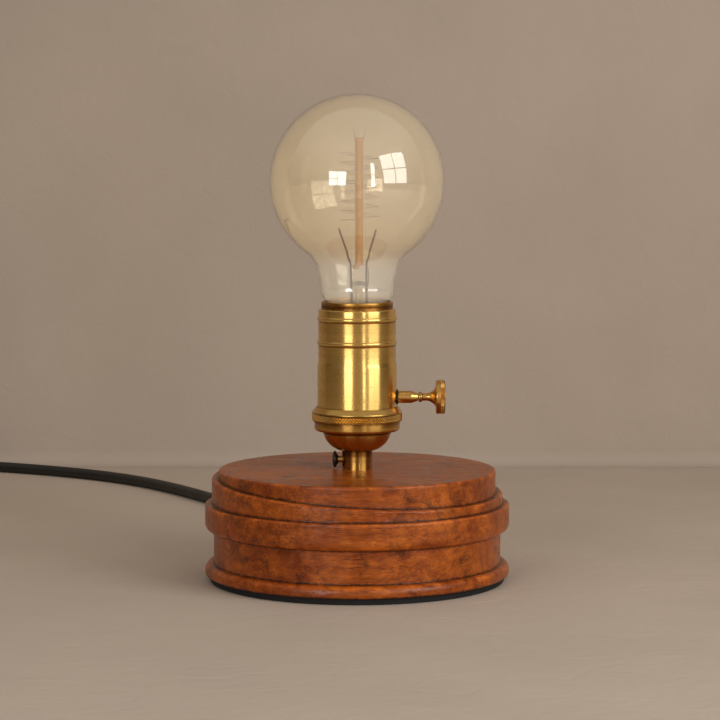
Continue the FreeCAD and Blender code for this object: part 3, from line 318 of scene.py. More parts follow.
@dataclass(frozen=True)
class TurnedBrass(Finish):
    """Brass turned on a lathe, lacquered and a little tarnished.

    The fine turning marks draw each light out along the piece's axis, so a softbox shows as a
    clean strip. Tarnish lies in broad clouds, and painted shade darkens the hollows, joints and
    undercuts with the same dark colour.

    Attributes:
        turned: Axis of the lathe.
        tarnish: Share of brown tarnish, 0 to 1.
        tarnish_and_shade_colour: sRGB hex value of the tarnish, and of the painted shade in the
            hollows.
        streak: How far the marks draw out a light, 0 to 1.
    """

    turned: Turned = Turned.UPRIGHT
    tarnish: float = 0.15
    tarnish_and_shade_colour: str = "7A4A16"
    streak: float = 0.6

    def dress(self, tree: Tree, shader: bpy.types.Node) -> None:
        """Adds turning marks, tarnish, painted shade in the hollows and the drawn-out gloss.

        Args:
            tree: Node tree of the material.
            shader: Its main shader.
        """
        upright = self.turned is Turned.UPRIGHT
        marks_at = self.place(tree, (0.02, 0.02, 1.0) if upright else (1.0, 0.02, 0.02))
        solid = self.place(tree)
        marks = self.cloud(tree, marks_at, 0.35, 3.0)
        broad_marks = self.cloud(tree, marks_at, 2.6, 2.0)
        cloud = self.cloud(tree, solid, 7.0, 4.0, 0.8)
        speck = self.cloud(tree, solid, 1.1, 3.0)
        # Painted shade: the marked hollows, joints and undercuts are mixed towards the dark tarnish
        # colour.
        crevice = add(tree, "ShaderNodeAttribute", attribute_name="crevice").outputs["Fac"]
        mixed = add(tree, "ShaderNodeMath", {0: cloud, 1: speck}, operation="MULTIPLY")
        stain = self.spread(tree, mixed.outputs[0], 0.0, 1.0, 0.3 - 0.2 * self.tarnish, 0.52)
        stain = add(tree, "ShaderNodeMath", {0: stain}, {1: self.tarnish}, operation="MULTIPLY")
        band = self.spread(tree, broad_marks, -0.1, 0.1, 0.35, 0.65)
        total = add(tree, "ShaderNodeMath", {0: stain.outputs[0], 1: band}, operation="ADD")
        total = add(tree, "ShaderNodeMath", {0: total.outputs[0], 1: crevice}, operation="ADD",
                    use_clamp=True)
        total = add(tree, "ShaderNodeMath", {0: total.outputs[0]}, {1: self.tarnish * 0.4},
                    operation="ADD", use_clamp=True)
        colour = add(tree, "ShaderNodeMix", {"Factor": total.outputs[0]},
                     {6: linear(self.colour), 7: linear(self.tarnish_and_shade_colour)}, data_type="RGBA")
        tree.links.new(colour.outputs[2], shader.inputs["Base Color"])
        rough = self.spread(tree, total.outputs[0], self.roughness, self.roughness + 0.2, 0.0, 0.9)
        tree.links.new(rough, shader.inputs["Roughness"])
        shader.inputs["Anisotropic"].default_value = self.streak
        shader.inputs["Anisotropic Rotation"].default_value = 0.25
        if self.streak > 0.0:
            tangent = add(tree, "ShaderNodeTangent", direction_type="RADIAL",
                          axis=self.turned.value)
            tree.links.new(tangent.outputs[0], shader.inputs["Tangent"])
        self.relief(tree, shader, marks, 0.006, 0.5)


@dataclass(frozen=True)
class BlownGlass(Finish):
    """Clear soda-lime glass, blown or drawn, with an amber stain that can fade out with height.

    It lets lamps through without caustics, so what is inside is lit as evenly as in real glass.

    Attributes:
        stain: sRGB hex value of the glass where the amber stain is full.
        fade_mm: Heights where the stain starts and where it is full.
        veil: Share of light that the glass scatters.
        shadow: sRGB hex value of the light that a lamp sends through.
        edge: sRGB hex value of the glass where it is looked at edge on, through much of it.
    """

    stain: str = "FFFFFF"
    fade_mm: tuple[float, float] = (0.0, 1.0)
    veil: float = 0.03
    shadow: str = "F4EEE2"
    edge: str = "857A6C"

    def dress(self, tree: Tree, shader: bpy.types.Node) -> None:
        """Adds the stain, faint drawing streaks and the way that lamps shine through.

        Args:
            tree: Node tree of the material.
            shader: Its main shader.
        """
        where = self.place(tree)
        height = add(tree, "ShaderNodeSeparateXYZ", {0: where}).outputs[2]
        cloud = self.cloud(tree, where, 14.0, 2.0)
        wander = add(tree, "ShaderNodeMath", {0: cloud, 2: height}, {1: 7.0},
                     operation="MULTIPLY_ADD")
        full = self.spread(tree, wander.outputs[0], 0.0, 1.0, *self.fade_mm)
        tone = add(tree, "ShaderNodeMix", {"Factor": full},
                   {6: linear(self.colour), 7: linear(self.stain)}, data_type="RGBA")
        facing = add(tree, "ShaderNodeLayerWeight").outputs["Facing"]
        edge_on = self.spread(tree, facing, 0.0, 1.0, 0.8, 0.95)
        deep = add(tree, "ShaderNodeMix", {"Factor": edge_on, 6: tone.outputs[2]},
                   {7: linear(self.edge)}, data_type="RGBA")
        tree.links.new(deep.outputs[2], shader.inputs["Base Color"])
        shader.inputs["Transmission Weight"].default_value = 1.0 - self.veil
        streaks = self.cloud(tree, self.place(tree, (1.0, 1.0, 0.12)), 9.0, 2.0, 0.5)
        self.relief(tree, shader, streaks, self.relief_mm, 0.6)
        film = add(tree, "ShaderNodeBsdfTransparent", values={0: linear(self.shadow)})
        lamp = add(tree, "ShaderNodeLightPath").outputs["Is Shadow Ray"]
        mix = add(tree, "ShaderNodeMixShader", {0: lamp, 1: shader.outputs[0], 2: film.outputs[0]})
        tree.links.new(mix.outputs[0], tree.nodes["Material Output"].inputs["Surface"])


@dataclass(frozen=True)
class CellularRubber(Finish):
    """Closed-cell foam rubber, cut from a sheet: matt and pitted by its cut cells.

    Attributes:
        cell_mm: Width of a cell.
    """

    cell_mm: float = 0.9

    def dress(self, tree: Tree, shader: bpy.types.Node) -> None:
        """Adds the cut cells.

        Args:
            tree: Node tree of the material.
            shader: Its main shader.
        """
        where = self.place(tree)
        cells = add(tree, "ShaderNodeTexVoronoi", {"Vector": where}, {"Scale": 1.0 / self.cell_mm})
        pit = self.spread(tree, cells.outputs["Distance"], 0.0, 1.0, 0.1, 0.6)
        tone = self.spread(tree, self.cloud(tree, where, 12.0), 0.75, 1.25)
        colour = add(tree, "ShaderNodeVectorMath", {"Scale": tone}, {0: linear(self.colour)[:3]},
                     operation="SCALE")
        tree.links.new(colour.outputs[0], shader.inputs["Base Color"])
        self.relief(tree, shader, pit, 0.12)


@dataclass(frozen=True)
class FibreSheet(Finish):
    """Vulcanised fibre or burnt wire: a matt surface with streaks of a second colour.

    Attributes:
        second: sRGB hex value of the streaks.
        lie: Scale of the streaks along X, Y and Z.
    """

    second: str = "8A7450"
    lie: tuple[float, float, float] = (0.2, 0.2, 1.0)

    def dress(self, tree: Tree, shader: bpy.types.Node) -> None:
        """Adds the streaks.

        Args:
            tree: Node tree of the material.
            shader: Its main shader.
        """
        streak = self.cloud(tree, self.place(tree, self.lie), self.grain_mm, 4.0, 0.4)
        share = self.spread(tree, streak, 0.0, 1.0, 0.35, 0.65)
        tone = add(tree, "ShaderNodeMix", {"Factor": share},
                   {6: linear(self.colour), 7: linear(self.second)}, data_type="RGBA")
        tree.links.new(tone.outputs[2], shader.inputs["Base Color"])
        self.relief(tree, shader, streak, self.relief_mm)


class Finishes:
    """Every finish of the lamp, named for its real material."""

    WOOD = WaxedHardwood("waxed_turned_hardwood", "95470F", 0.32)
    BRASS = TurnedBrass("lacquered_turned_brass", "EBC474", 0.24, 1.0, streak=0.85)
    DOME_BRASS = TurnedBrass("polished_spun_brass", "DCAA58", 0.2, 1.0, tarnish=0.3,
                             tarnish_and_shade_colour="5A2E0C", streak=0.8)
    KNURL_BRASS = TurnedBrass("knurled_brass", "E6BA68", 0.22, 1.0, tarnish=0.2, streak=0.0,
                              tarnish_and_shade_colour="4A2A0A")
    RIM_BRASS = TurnedBrass("burnished_rim_brass", "CC9A4C", 0.26, 1.0, tarnish=0.4,
                            tarnish_and_shade_colour="5A2E0C", streak=0.4)
    SHAFT_BRASS = TurnedBrass("lacquered_shaft_brass", "DDAE62", 0.2, 1.0, tarnish=0.2,
                              turned=Turned.SIDEWAYS)
    CONTACT_BRASS = TurnedBrass("rolled_contact_brass", "DDB774", 0.28, 1.0, tarnish=0.12)
    ZINC = TurnedBrass("zinc_plated_steel", "BDBEBF", 0.34, 1.0, tarnish=0.2,
                       tarnish_and_shade_colour="7D7F80")
    NICKEL = TurnedBrass("nickel_plated_brass", "CFC9BC", 0.2, 1.0, tarnish=0.08,
                         tarnish_and_shade_colour="8A8478", streak=0.3)
    BLACK_METAL = Finish("black_lacquered_steel", "141210", 0.3, grain_mm=0.5)
    GLOBE = BlownGlass("amber_stained_bulb_glass", "FDFBF5", 0.02, stain="FCF5E5",
                       fade_mm=(174.0, 186.0), veil=0.12, relief_mm=0.02, ior=1.7)
    STEM = BlownGlass("clear_stem_glass", "F7F2E8", 0.03, stain="F7F2E8", veil=0.06,
                      relief_mm=0.03)
    ROD = BlownGlass("amber_glass_rod", "B9873C", 0.12, stain="A87424", veil=0.75,
                     fade_mm=(200.0, 245.0), relief_mm=0.05, shadow="D8A860")
    INSULATOR = BlownGlass("black_vitrite", "050505", 0.12, stain="050505", veil=0.9,
                           relief_mm=0.03)
    LEADS = FibreSheet("oxidised_copper_lead", "3E160A", 0.5, 0.0, second="1E0A06",
                       grain_mm=1.2, relief_mm=0.01)
    HOOKS = FibreSheet("molybdenum_wire", "8A6A44", 0.4, 0.9, second="5E4022", grain_mm=0.8,
                       relief_mm=0.005)
    FILAMENT = FibreSheet("carbonised_filament", "7A5A38", 0.6, 0.2, second="4A3420",
                          grain_mm=0.6, relief_mm=0.005)
    FOAM = CellularRubber("cellular_rubber", "0E0D0C", 0.85)
    CORD = Finish("flexible_black_pvc", "181614", 0.42, grain_mm=0.7, relief_mm=0.015)
    BLACK_PLASTIC = Finish("moulded_black_plastic", "171615", 0.45, grain_mm=0.45,
                           relief_mm=0.012)
    BAKED_PLASTIC = Finish("black_phenolic", "1D1916", 0.3, grain_mm=0.3, relief_mm=0.01)
    CERAMIC = Finish("white_glazed_porcelain", "E9E5DA", 0.14, grain_mm=1.6, relief_mm=0.012,
                     uneven=0.05)
    FIBRE = FibreSheet("vulcanised_fibre", "A68C62", 0.8, second="8A7450", grain_mm=0.6,
                       relief_mm=0.03)
    BROWN_WIRE = Finish("brown_pvc", "6A3A1E", 0.4)
    BLUE_WIRE = Finish("blue_pvc", "2A5FA8", 0.4)
    HOOK_LOOP = CellularRubber("woven_hook_and_loop", "161616", 0.9, cell_mm=0.7)


# ---- Outlines and meshes ----
def arc(start: Point, through: Point, end: Point, steps: int = 8) -> list[Point]:
    """Gives points on the arc through three points.

    Args:
        start: First point.
        through: A point between the two ends.
        end: Last point.
        steps: Number of straight pieces.

    Returns:
        The points, with both ends.
    """
    (ax, ay), (bx, by), (cx, cy) = start, through, end
    scale = 2 * (ax * (by - cy) + bx * (cy - ay) + cx * (ay - by))
    a, b, c = ax * ax + ay * ay, bx * bx + by * by, cx * cx + cy * cy
    centre = ((a * (by - cy) + b * (cy - ay) + c * (ay - by)) / scale,
              (a * (cx - bx) + b * (ax - cx) + c * (bx - ax)) / scale)
    radius = math.dist(start, centre)
    first, mid, last = (math.atan2(y - centre[1], x - centre[0])
                        for x, y in (start, through, end))
    sweep = (last - first) % math.tau
    if (mid - first) % math.tau > sweep:
        sweep -= math.tau
    return [(centre[0] + radius * math.cos(first + sweep * step / steps),
             centre[1] + radius * math.sin(first + sweep * step / steps))
            for step in range(steps + 1)]


def rounded(corners: Sequence[Sequence[float]], pitch: float = 0.0, steps: int = 5) -> list[Point]:
    """Rounds the corners of a closed outline.

    Args:
        corners: Radius, height and, for a rounded corner, the fillet's radius.
        pitch: Longest straight piece, or 0 to leave them whole.
        steps: Straight pieces in each fillet.

    Returns:
        The outline's points.
    """
    points: list[Point] = []
    for index, (x, y, *fillet) in enumerate(corners):
        here = Vector((x, y))
        if not fillet or fillet[0] <= 0.0:
            points.append((x, y))
            continue
        back = (Vector(corners[index - 1][:2]) - here).normalized()
        onward = (Vector(corners[(index + 1) % len(corners)][:2]) - here).normalized()
        half = back.angle(onward) / 2
        inward = (back + onward).normalized()
        reach = fillet[0] / math.tan(half)
        middle = here + inward * (fillet[0] / math.sin(half) - fillet[0])
        points += arc(tuple(here + back * reach), tuple(middle), tuple(here + onward * reach),
                      steps)
    if not pitch:
        return points
    fine: list[Point] = []
    for start, end in zip(points, points[1:] + points[:1]):
        pieces = max(1, math.ceil(math.dist(start, end) / pitch))
        if start[0] < 1e-6 and end[0] < 1e-6:
            pieces = 1
        fine += [(start[0] + (end[0] - start[0]) * part / pieces,
                  start[1] + (end[1] - start[1]) * part / pieces) for part in range(pieces)]
    return fine


def solid(name: str, shape: bmesh.types.BMesh, sharp: float = 32.0) -> Thing:
    """Makes a piece of a mesh, with its faces outwards, smooth, and its edges crisp.

    Args:
        name: Name of the piece.
        shape: Mesh in metres, which is used up.
        sharp: Degrees from which an edge stays crisp.

    Returns:
        The piece.
    """
    bmesh.ops.recalc_face_normals(shape, faces=shape.faces)
    for face in shape.faces:
        face.smooth = True
    for edge in shape.edges:
        edge.smooth = not (edge.is_manifold and edge.calc_face_angle(0.0) > math.radians(sharp))
    mesh = bpy.data.meshes.new(name)
    shape.to_mesh(mesh)
    shape.free()
    thing = bpy.data.objects.new(name, mesh)
    bpy.context.scene.collection.objects.link(thing)
    return thing


def plain(thing: Thing, sharp: float = 32.0) -> Thing:
    """Turns a piece and its modifiers into a plain mesh.

    Args:
        thing: Piece with modifiers, or a curve.
        sharp: Degrees from which an edge stays crisp.

    Returns:
        The same piece, or a mesh piece in place of a curve.
    """
    bpy.context.view_layer.update()
    ready = thing.evaluated_get(bpy.context.evaluated_depsgraph_get())
    mesh = bpy.data.meshes.new_from_object(ready)
    shape = bmesh.new()
    shape.from_mesh(mesh)
    bmesh.ops.remove_doubles(shape, verts=shape.verts, dist=1e-7)
    name, materials = thing.name, list(mesh.materials)
    bpy.data.objects.remove(thing)
    bpy.data.meshes.remove(mesh)
    made = solid(name, shape, sharp)
    made.name = name
    for material in materials:
        made.data.materials.append(material)
    return made


Outline = Callable[[float], Sequence[Point]]


def revolve(name: str, outline: Outline | Sequence[Point], segments: int = 128,
            along: Turned = Turned.UPRIGHT, at: tuple[float, float, float] = (0.0, 0.0, 0.0),
            marks: dict[str, Sequence[tuple[float, float, float]]] | None = None) -> Thing:
    """Turns a closed outline about an axis.

    Args:
        name: Name of the piece.
        outline: Radius and place along the axis of each point, or a function of the angle.
        segments: Steps round the axis.
        along: Axis of the lathe.
        at: Point that the axis goes through.
        marks: Attributes to write, each with spots as radius, place and reach.

    Returns:
        The piece.
    """
    shape = bmesh.new()
    layers = {key: shape.verts.layers.float.new(key) for key in marks or {}}
    columns = []
    poles: dict[int, bmesh.types.BMVert] = {}
    for step in range(segments):
        angle = math.tau * step / segments
        points = outline(angle) if callable(outline) else outline
        column = []
        for index, (radius, place) in enumerate(points):
            if index in poles:
                column.append(poles[index])
                continue
            side, up = radius * math.cos(angle), radius * math.sin(angle)
            spot = (side, up, place) if along is Turned.UPRIGHT else (place, side, up)
            vertex = shape.verts.new([(a + b) * MM for a, b in zip(spot, at)])
            for key, layer in layers.items():
                near = [1 - math.dist((radius, place), mark[:2]) / mark[2] for mark in marks[key]]
                vertex[layer] = max(0.0, *near)
            if radius < 1e-6:
                poles[index] = vertex
            column.append(vertex)
        columns.append(column)
    for this, following in zip(columns, columns[1:] + columns[:1]):
        for low in range(len(this)):
            high = (low + 1) % len(this)
            corners = dict.fromkeys((this[low], following[low], following[high], this[high]))
            if len(corners) > 2:
                shape.faces.new(list(corners))
    return solid(name, shape)


def drill(thing: Thing, cutter: Thing) -> Thing:
    """Cuts one piece's shape out of another.

    Args:
        thing: Piece that gets the hole.
        cutter: Shape of the hole, which is deleted.

    Returns:
        The piece with its hole.
    """
    hole = thing.modifiers.new("Hole", "BOOLEAN")
    hole.operation, hole.solver, hole.object = "DIFFERENCE", "EXACT", cutter
    made = plain(thing)
    bpy.data.objects.remove(cutter)
    return made


def join(name: str, parts: Iterable[Thing]) -> Thing:
    """Makes one piece of several.

    Args:
        name: Name of the new piece.
        parts: Pieces to join, which are used up.

    Returns:
        The new piece.
    """
    shape = bmesh.new()
    for part in parts:
        shape.from_mesh(part.data)
        bpy.data.objects.remove(part)
    return solid(name, shape)


def strand(name: str, routes: Sequence[Sequence[Sequence[float]]], radius: float,
           bend: bool = True, roundness: int = 3) -> Thing:
    """Draws round curves along routes.

    Args:
        name: Name of the piece.
        routes: Points of each strand in millimetres.
        radius: Radius of the strand.
        bend: Whether the strand bends smoothly at its points.
        roundness: Bevel steps of its section.

    Returns:
        The strands as one curve object.
    """
    curve = bpy.data.curves.new(name, "CURVE")
    curve.dimensions = "3D"
    curve.bevel_depth = radius * MM
    curve.bevel_resolution = roundness
    curve.resolution_u = 8
    curve.use_fill_caps = True
    for route in routes:
        spline = curve.splines.new("NURBS" if bend else "POLY")
        spline.points.add(len(route) - 1)
        for point, place in zip(spline.points, route):
            point.co = (*(part * MM for part in place), 1.0)
        if bend:
            spline.order_u = 3
            spline.use_endpoint_u = True
    thing = bpy.data.objects.new(name, curve)
    bpy.context.scene.collection.objects.link(thing)
    return thing


def loft(name: str, sections: Sequence[Sequence[Sequence[float]]]) -> Thing:
    """Skins closed sections and closes both ends.

    Args:
        name: Name of the piece.
        sections: Points of each section in millimetres, as many in each.

    Returns:
        The piece.
    """
    shape = bmesh.new()
    rings = [[shape.verts.new([part * MM for part in place]) for place in section]
             for section in sections]
    for low, high in zip(rings, rings[1:]):
        for one in range(len(low)):
            two = (one + 1) % len(low)
            shape.faces.new((low[one], low[two], high[two], high[one]))
    for ring in (rings[0], rings[-1]):
        hub = shape.verts.new(sum((vertex.co for vertex in ring), Vector()) / len(ring))
        for one in range(len(ring)):
            shape.faces.new((ring[one], ring[(one + 1) % len(ring)], hub))
    return solid(name, shape)


def superellipse(half_width: float, half_height: float, power: float,
                 count: int = 48) -> list[Point]:
    """Gives points round an oval that grows squarer with its power.

    Args:
        half_width: Half of its width.
        half_height: Half of its height.
        power: 2 for an ellipse, more for a squarer shape.
        count: Number of points.

    Returns:
        The points.
    """
    points = []
    for step in range(count):
        side, up = math.cos(math.tau * step / count), math.sin(math.tau * step / count)
        points.append((half_width * math.copysign(abs(side) ** (2 / power), side),
                       half_height * math.copysign(abs(up) ** (2 / power), up)))
    return points


# ---- Repeating shapes ----
def new_tree(name: str, sizes: Sequence[tuple[str, str]]) -> tuple[Tree, bpy.types.Node]:
    """Starts a Geometry Nodes tree with named inputs.

    Args:
        name: Name of the tree.
        sizes: Name and socket type of each input after the geometry and the finish.

    Returns:
        The tree and its input node.
    """
    tree = bpy.data.node_groups.new(name, "GeometryNodeTree")
    tree.interface.new_socket("Geometry", in_out="OUTPUT", socket_type="NodeSocketGeometry")
    tree.interface.new_socket("Geometry", in_out="INPUT", socket_type="NodeSocketGeometry")
    tree.interface.new_socket("Finish", in_out="INPUT", socket_type="NodeSocketMaterial")
    for label, kind in sizes:
        tree.interface.new_socket(label, in_out="INPUT", socket_type="NodeSocket" + kind)
    return tree, add(tree, "NodeGroupInput")


def end_tree(tree: Tree, entry: bpy.types.Node, points: Socket, instance: Socket,
             turn: Socket) -> None:
    """Instances a shape on points, joins it to the piece and ends the tree.

    Args:
        tree: Geometry Nodes tree.
        entry: Its input node.
        points: Points that carry the shape.
        instance: Shape to repeat.
        turn: Rotation of each one.
    """
    spread = add(tree, "GeometryNodeInstanceOnPoints",
                 {"Points": points, "Instance": instance, "Rotation": turn})
    both = add(tree, "GeometryNodeJoinGeometry")
    tree.links.new(spread.outputs[0], both.inputs[0])
    tree.links.new(entry.outputs["Geometry"], both.inputs[0])
    real = add(tree, "GeometryNodeRealizeInstances", {0: both.outputs[0]})
    painted = add(tree, "GeometryNodeSetMaterial",
                  {0: real.outputs[0], "Material": entry.outputs["Finish"]})
    add(tree, "NodeGroupOutput", {0: painted.outputs[0]})


def helix(tree: Tree, entry: bpy.types.Node, count: Socket, each: Socket, rise: Socket,
          first: Socket, start: Socket) -> tuple[Socket, Socket, Socket]:
    """Sets points on a helix about Z.

    Args:
        tree: Geometry Nodes tree.
        entry: Its input node, which has a Radius.
        count: Number of points.
        each: Angle from one point to the next.
        rise: Rise from one point to the next.
        first: Angle of the first point.
        start: Height of the first point.

    Returns:
        The points, the angle of each and the rotation that turns +Z outwards.
    """
    index = add(tree, "GeometryNodeInputIndex").outputs[0]
    angle = add(tree, "ShaderNodeMath", {0: index, 1: each, 2: first}, operation="MULTIPLY_ADD")
    height = add(tree, "ShaderNodeMath", {0: index, 1: rise, 2: start}, operation="MULTIPLY_ADD")
    side = add(tree, "ShaderNodeMath", {0: angle.outputs[0]}, operation="COSINE")
    front = add(tree, "ShaderNodeMath", {0: angle.outputs[0]}, operation="SINE")
    out = add(tree, "ShaderNodeCombineXYZ", {0: side.outputs[0], 1: front.outputs[0]})
    far = add(tree, "ShaderNodeVectorMath", {0: out.outputs[0], "Scale": entry.outputs["Radius"]},
              operation="SCALE")
    lift = add(tree, "ShaderNodeCombineXYZ", {2: height.outputs[0]})
    place = add(tree, "ShaderNodeVectorMath", {0: far.outputs[0], 1: lift.outputs[0]},
                operation="ADD")
    line = add(tree, "GeometryNodeMeshLine", {"Count": count})
    points = add(tree, "GeometryNodeSetPosition",
                 {0: line.outputs[0], "Position": place.outputs[0]})
    turn = add(tree, "ShaderNodeCombineXYZ", {2: angle.outputs[0]}, {1: math.pi / 2})
    return points.outputs[0], angle.outputs[0], turn.outputs[0]


def knurl_tree() -> Tree:
    """Builds the tree of a diamond knurl: rows of small pyramids round a band, each half a step on.

    Returns:
        The tree, whose inputs are in metres.
    """
    tree, entry = new_tree("Knurl", (("Radius", "Float"), ("Start", "Float"), ("Pitch", "Float"),
                                     ("Tooth", "Float"), ("Around", "Int"), ("Rows", "Int")))
    around, pitch = entry.outputs["Around"], entry.outputs["Pitch"]
    total = add(tree, "ShaderNodeMath", {0: around, 1: entry.outputs["Rows"]},
                operation="MULTIPLY").outputs[0]
    step = add(tree, "ShaderNodeMath", {1: around}, {0: math.tau}, operation="DIVIDE").outputs[0]
    index = add(tree, "GeometryNodeInputIndex").outputs[0]
    row = add(tree, "ShaderNodeMath", {0: index, 1: around}, operation="DIVIDE").outputs[0]
    row = add(tree, "ShaderNodeMath", {0: row}, operation="FLOOR").outputs[0]
    half_step = add(tree, "ShaderNodeMath", {0: step}, {1: 0.5}, operation="MULTIPLY").outputs[0]
    shift = add(tree, "ShaderNodeMath", {0: row, 1: half_step}, operation="MULTIPLY").outputs[0]
    half_pitch = add(tree, "ShaderNodeMath", {0: pitch}, {1: 0.5}, operation="MULTIPLY").outputs[0]
    level = add(tree, "ShaderNodeMath", {0: row, 1: half_pitch, 2: entry.outputs["Start"]},
                operation="MULTIPLY_ADD").outputs[0]
    still = add(tree, "ShaderNodeMath", values={0: 0.0, 1: 0.0}, operation="ADD").outputs[0]
    points, _, turn = helix(tree, entry, total, step, still, shift, level)
    foot = add(tree, "ShaderNodeMath", {0: half_pitch}, {1: 0.9}, operation="MULTIPLY").outputs[0]
    tooth = add(tree, "GeometryNodeMeshCone",
                {"Radius Bottom": foot, "Depth": entry.outputs["Tooth"]},
                {"Vertices": 4, "Radius Top": 0.0})
    end_tree(tree, entry, points, tooth.outputs[0], turn)
    return tree


def hook_tree() -> Tree:
    """Builds the tree of the filament's hooks: wires with a melted bead on a rising helix.

    Returns:
        The tree, whose inputs are in metres and radians.
    """
    tree, entry = new_tree("Hooks", (("Radius", "Float"), ("Length", "Float"), ("Wire", "Float"),
                                     ("Bead", "Float"), ("Start", "Float"), ("Rise", "Float"),
                                     ("First", "Float"), ("Step", "Float"), ("Count", "Int")))
    sockets = entry.outputs
    points, _, turn = helix(tree, entry, sockets["Count"], sockets["Step"], sockets["Rise"],
                            sockets["First"], sockets["Start"])
    shank = add(tree, "GeometryNodeMeshCylinder",
                {"Radius": sockets["Wire"], "Depth": sockets["Length"]}, {"Vertices": 8})
    half = add(tree, "ShaderNodeMath", {0: sockets["Length"]}, {1: 0.5},
               operation="MULTIPLY").outputs[0]
    middle = add(tree, "ShaderNodeCombineXYZ", {2: half})
    shank = add(tree, "GeometryNodeTransform",
                {0: shank.outputs[0], "Translation": middle.outputs[0]})
    bead = add(tree, "GeometryNodeMeshIcoSphere", {"Radius": sockets["Bead"]}, {"Subdivisions": 2})
    end = add(tree, "ShaderNodeCombineXYZ", {2: sockets["Length"]})
    bead = add(tree, "GeometryNodeTransform", {0: bead.outputs[0], "Translation": end.outputs[0]})
    hook = add(tree, "GeometryNodeJoinGeometry")
    tree.links.new(shank.outputs[0], hook.inputs[0])
    tree.links.new(bead.outputs[0], hook.inputs[0])
    end_tree(tree, entry, points, hook.outputs[0], turn)
    return tree


def grow(thing: Thing, tree: Tree, finish: Finish, **sizes: float) -> Thing:
    """Runs a Geometry Nodes tree on a piece and keeps the result as a plain mesh.

    Args:
        thing: Piece that gets the repeated shapes.
        tree: Geometry Nodes tree.
        finish: Finish of the whole piece.
        **sizes: Values of the tree's named inputs.

    Returns:
        The piece.
    """
    modifier = thing.modifiers.new(tree.name, "NODES")
    modifier.node_group = tree
    for item in tree.interface.items_tree:
        if item.in_out == "INPUT" and item.name in sizes:
            modifier[item.identifier] = sizes[item.name]
        elif item.in_out == "INPUT" and item.name == "Finish":
            modifier[item.identifier] = finish.material()
    return plain(thing)


# ---- The lamp's sub-assemblies ----
class Assembly:
    """What every sub-assembly of the lamp can do."""

    def seat(self, piece: Thing, finish: Finish, slot: str, *nodes: str,
             body: str = "root") -> Thing:
        """Dresses a piece and puts it on the body that carries it.

        Args:
            piece: Piece to seat.
            finish: Its finish.
            slot: Material slot of the record. Not used.
            *nodes: CAD nodes that it stands for.
            body: Body that it rides on.

        Returns:
            The piece.
        """
        piece.data.materials.clear()
        piece.data.materials.append(finish.material())
        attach(piece, body)
        if nodes:
            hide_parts(*nodes)
        LOG.info("%s rides on %s for %s", piece.name, body, ", ".join(nodes) or "itself")
        return piece


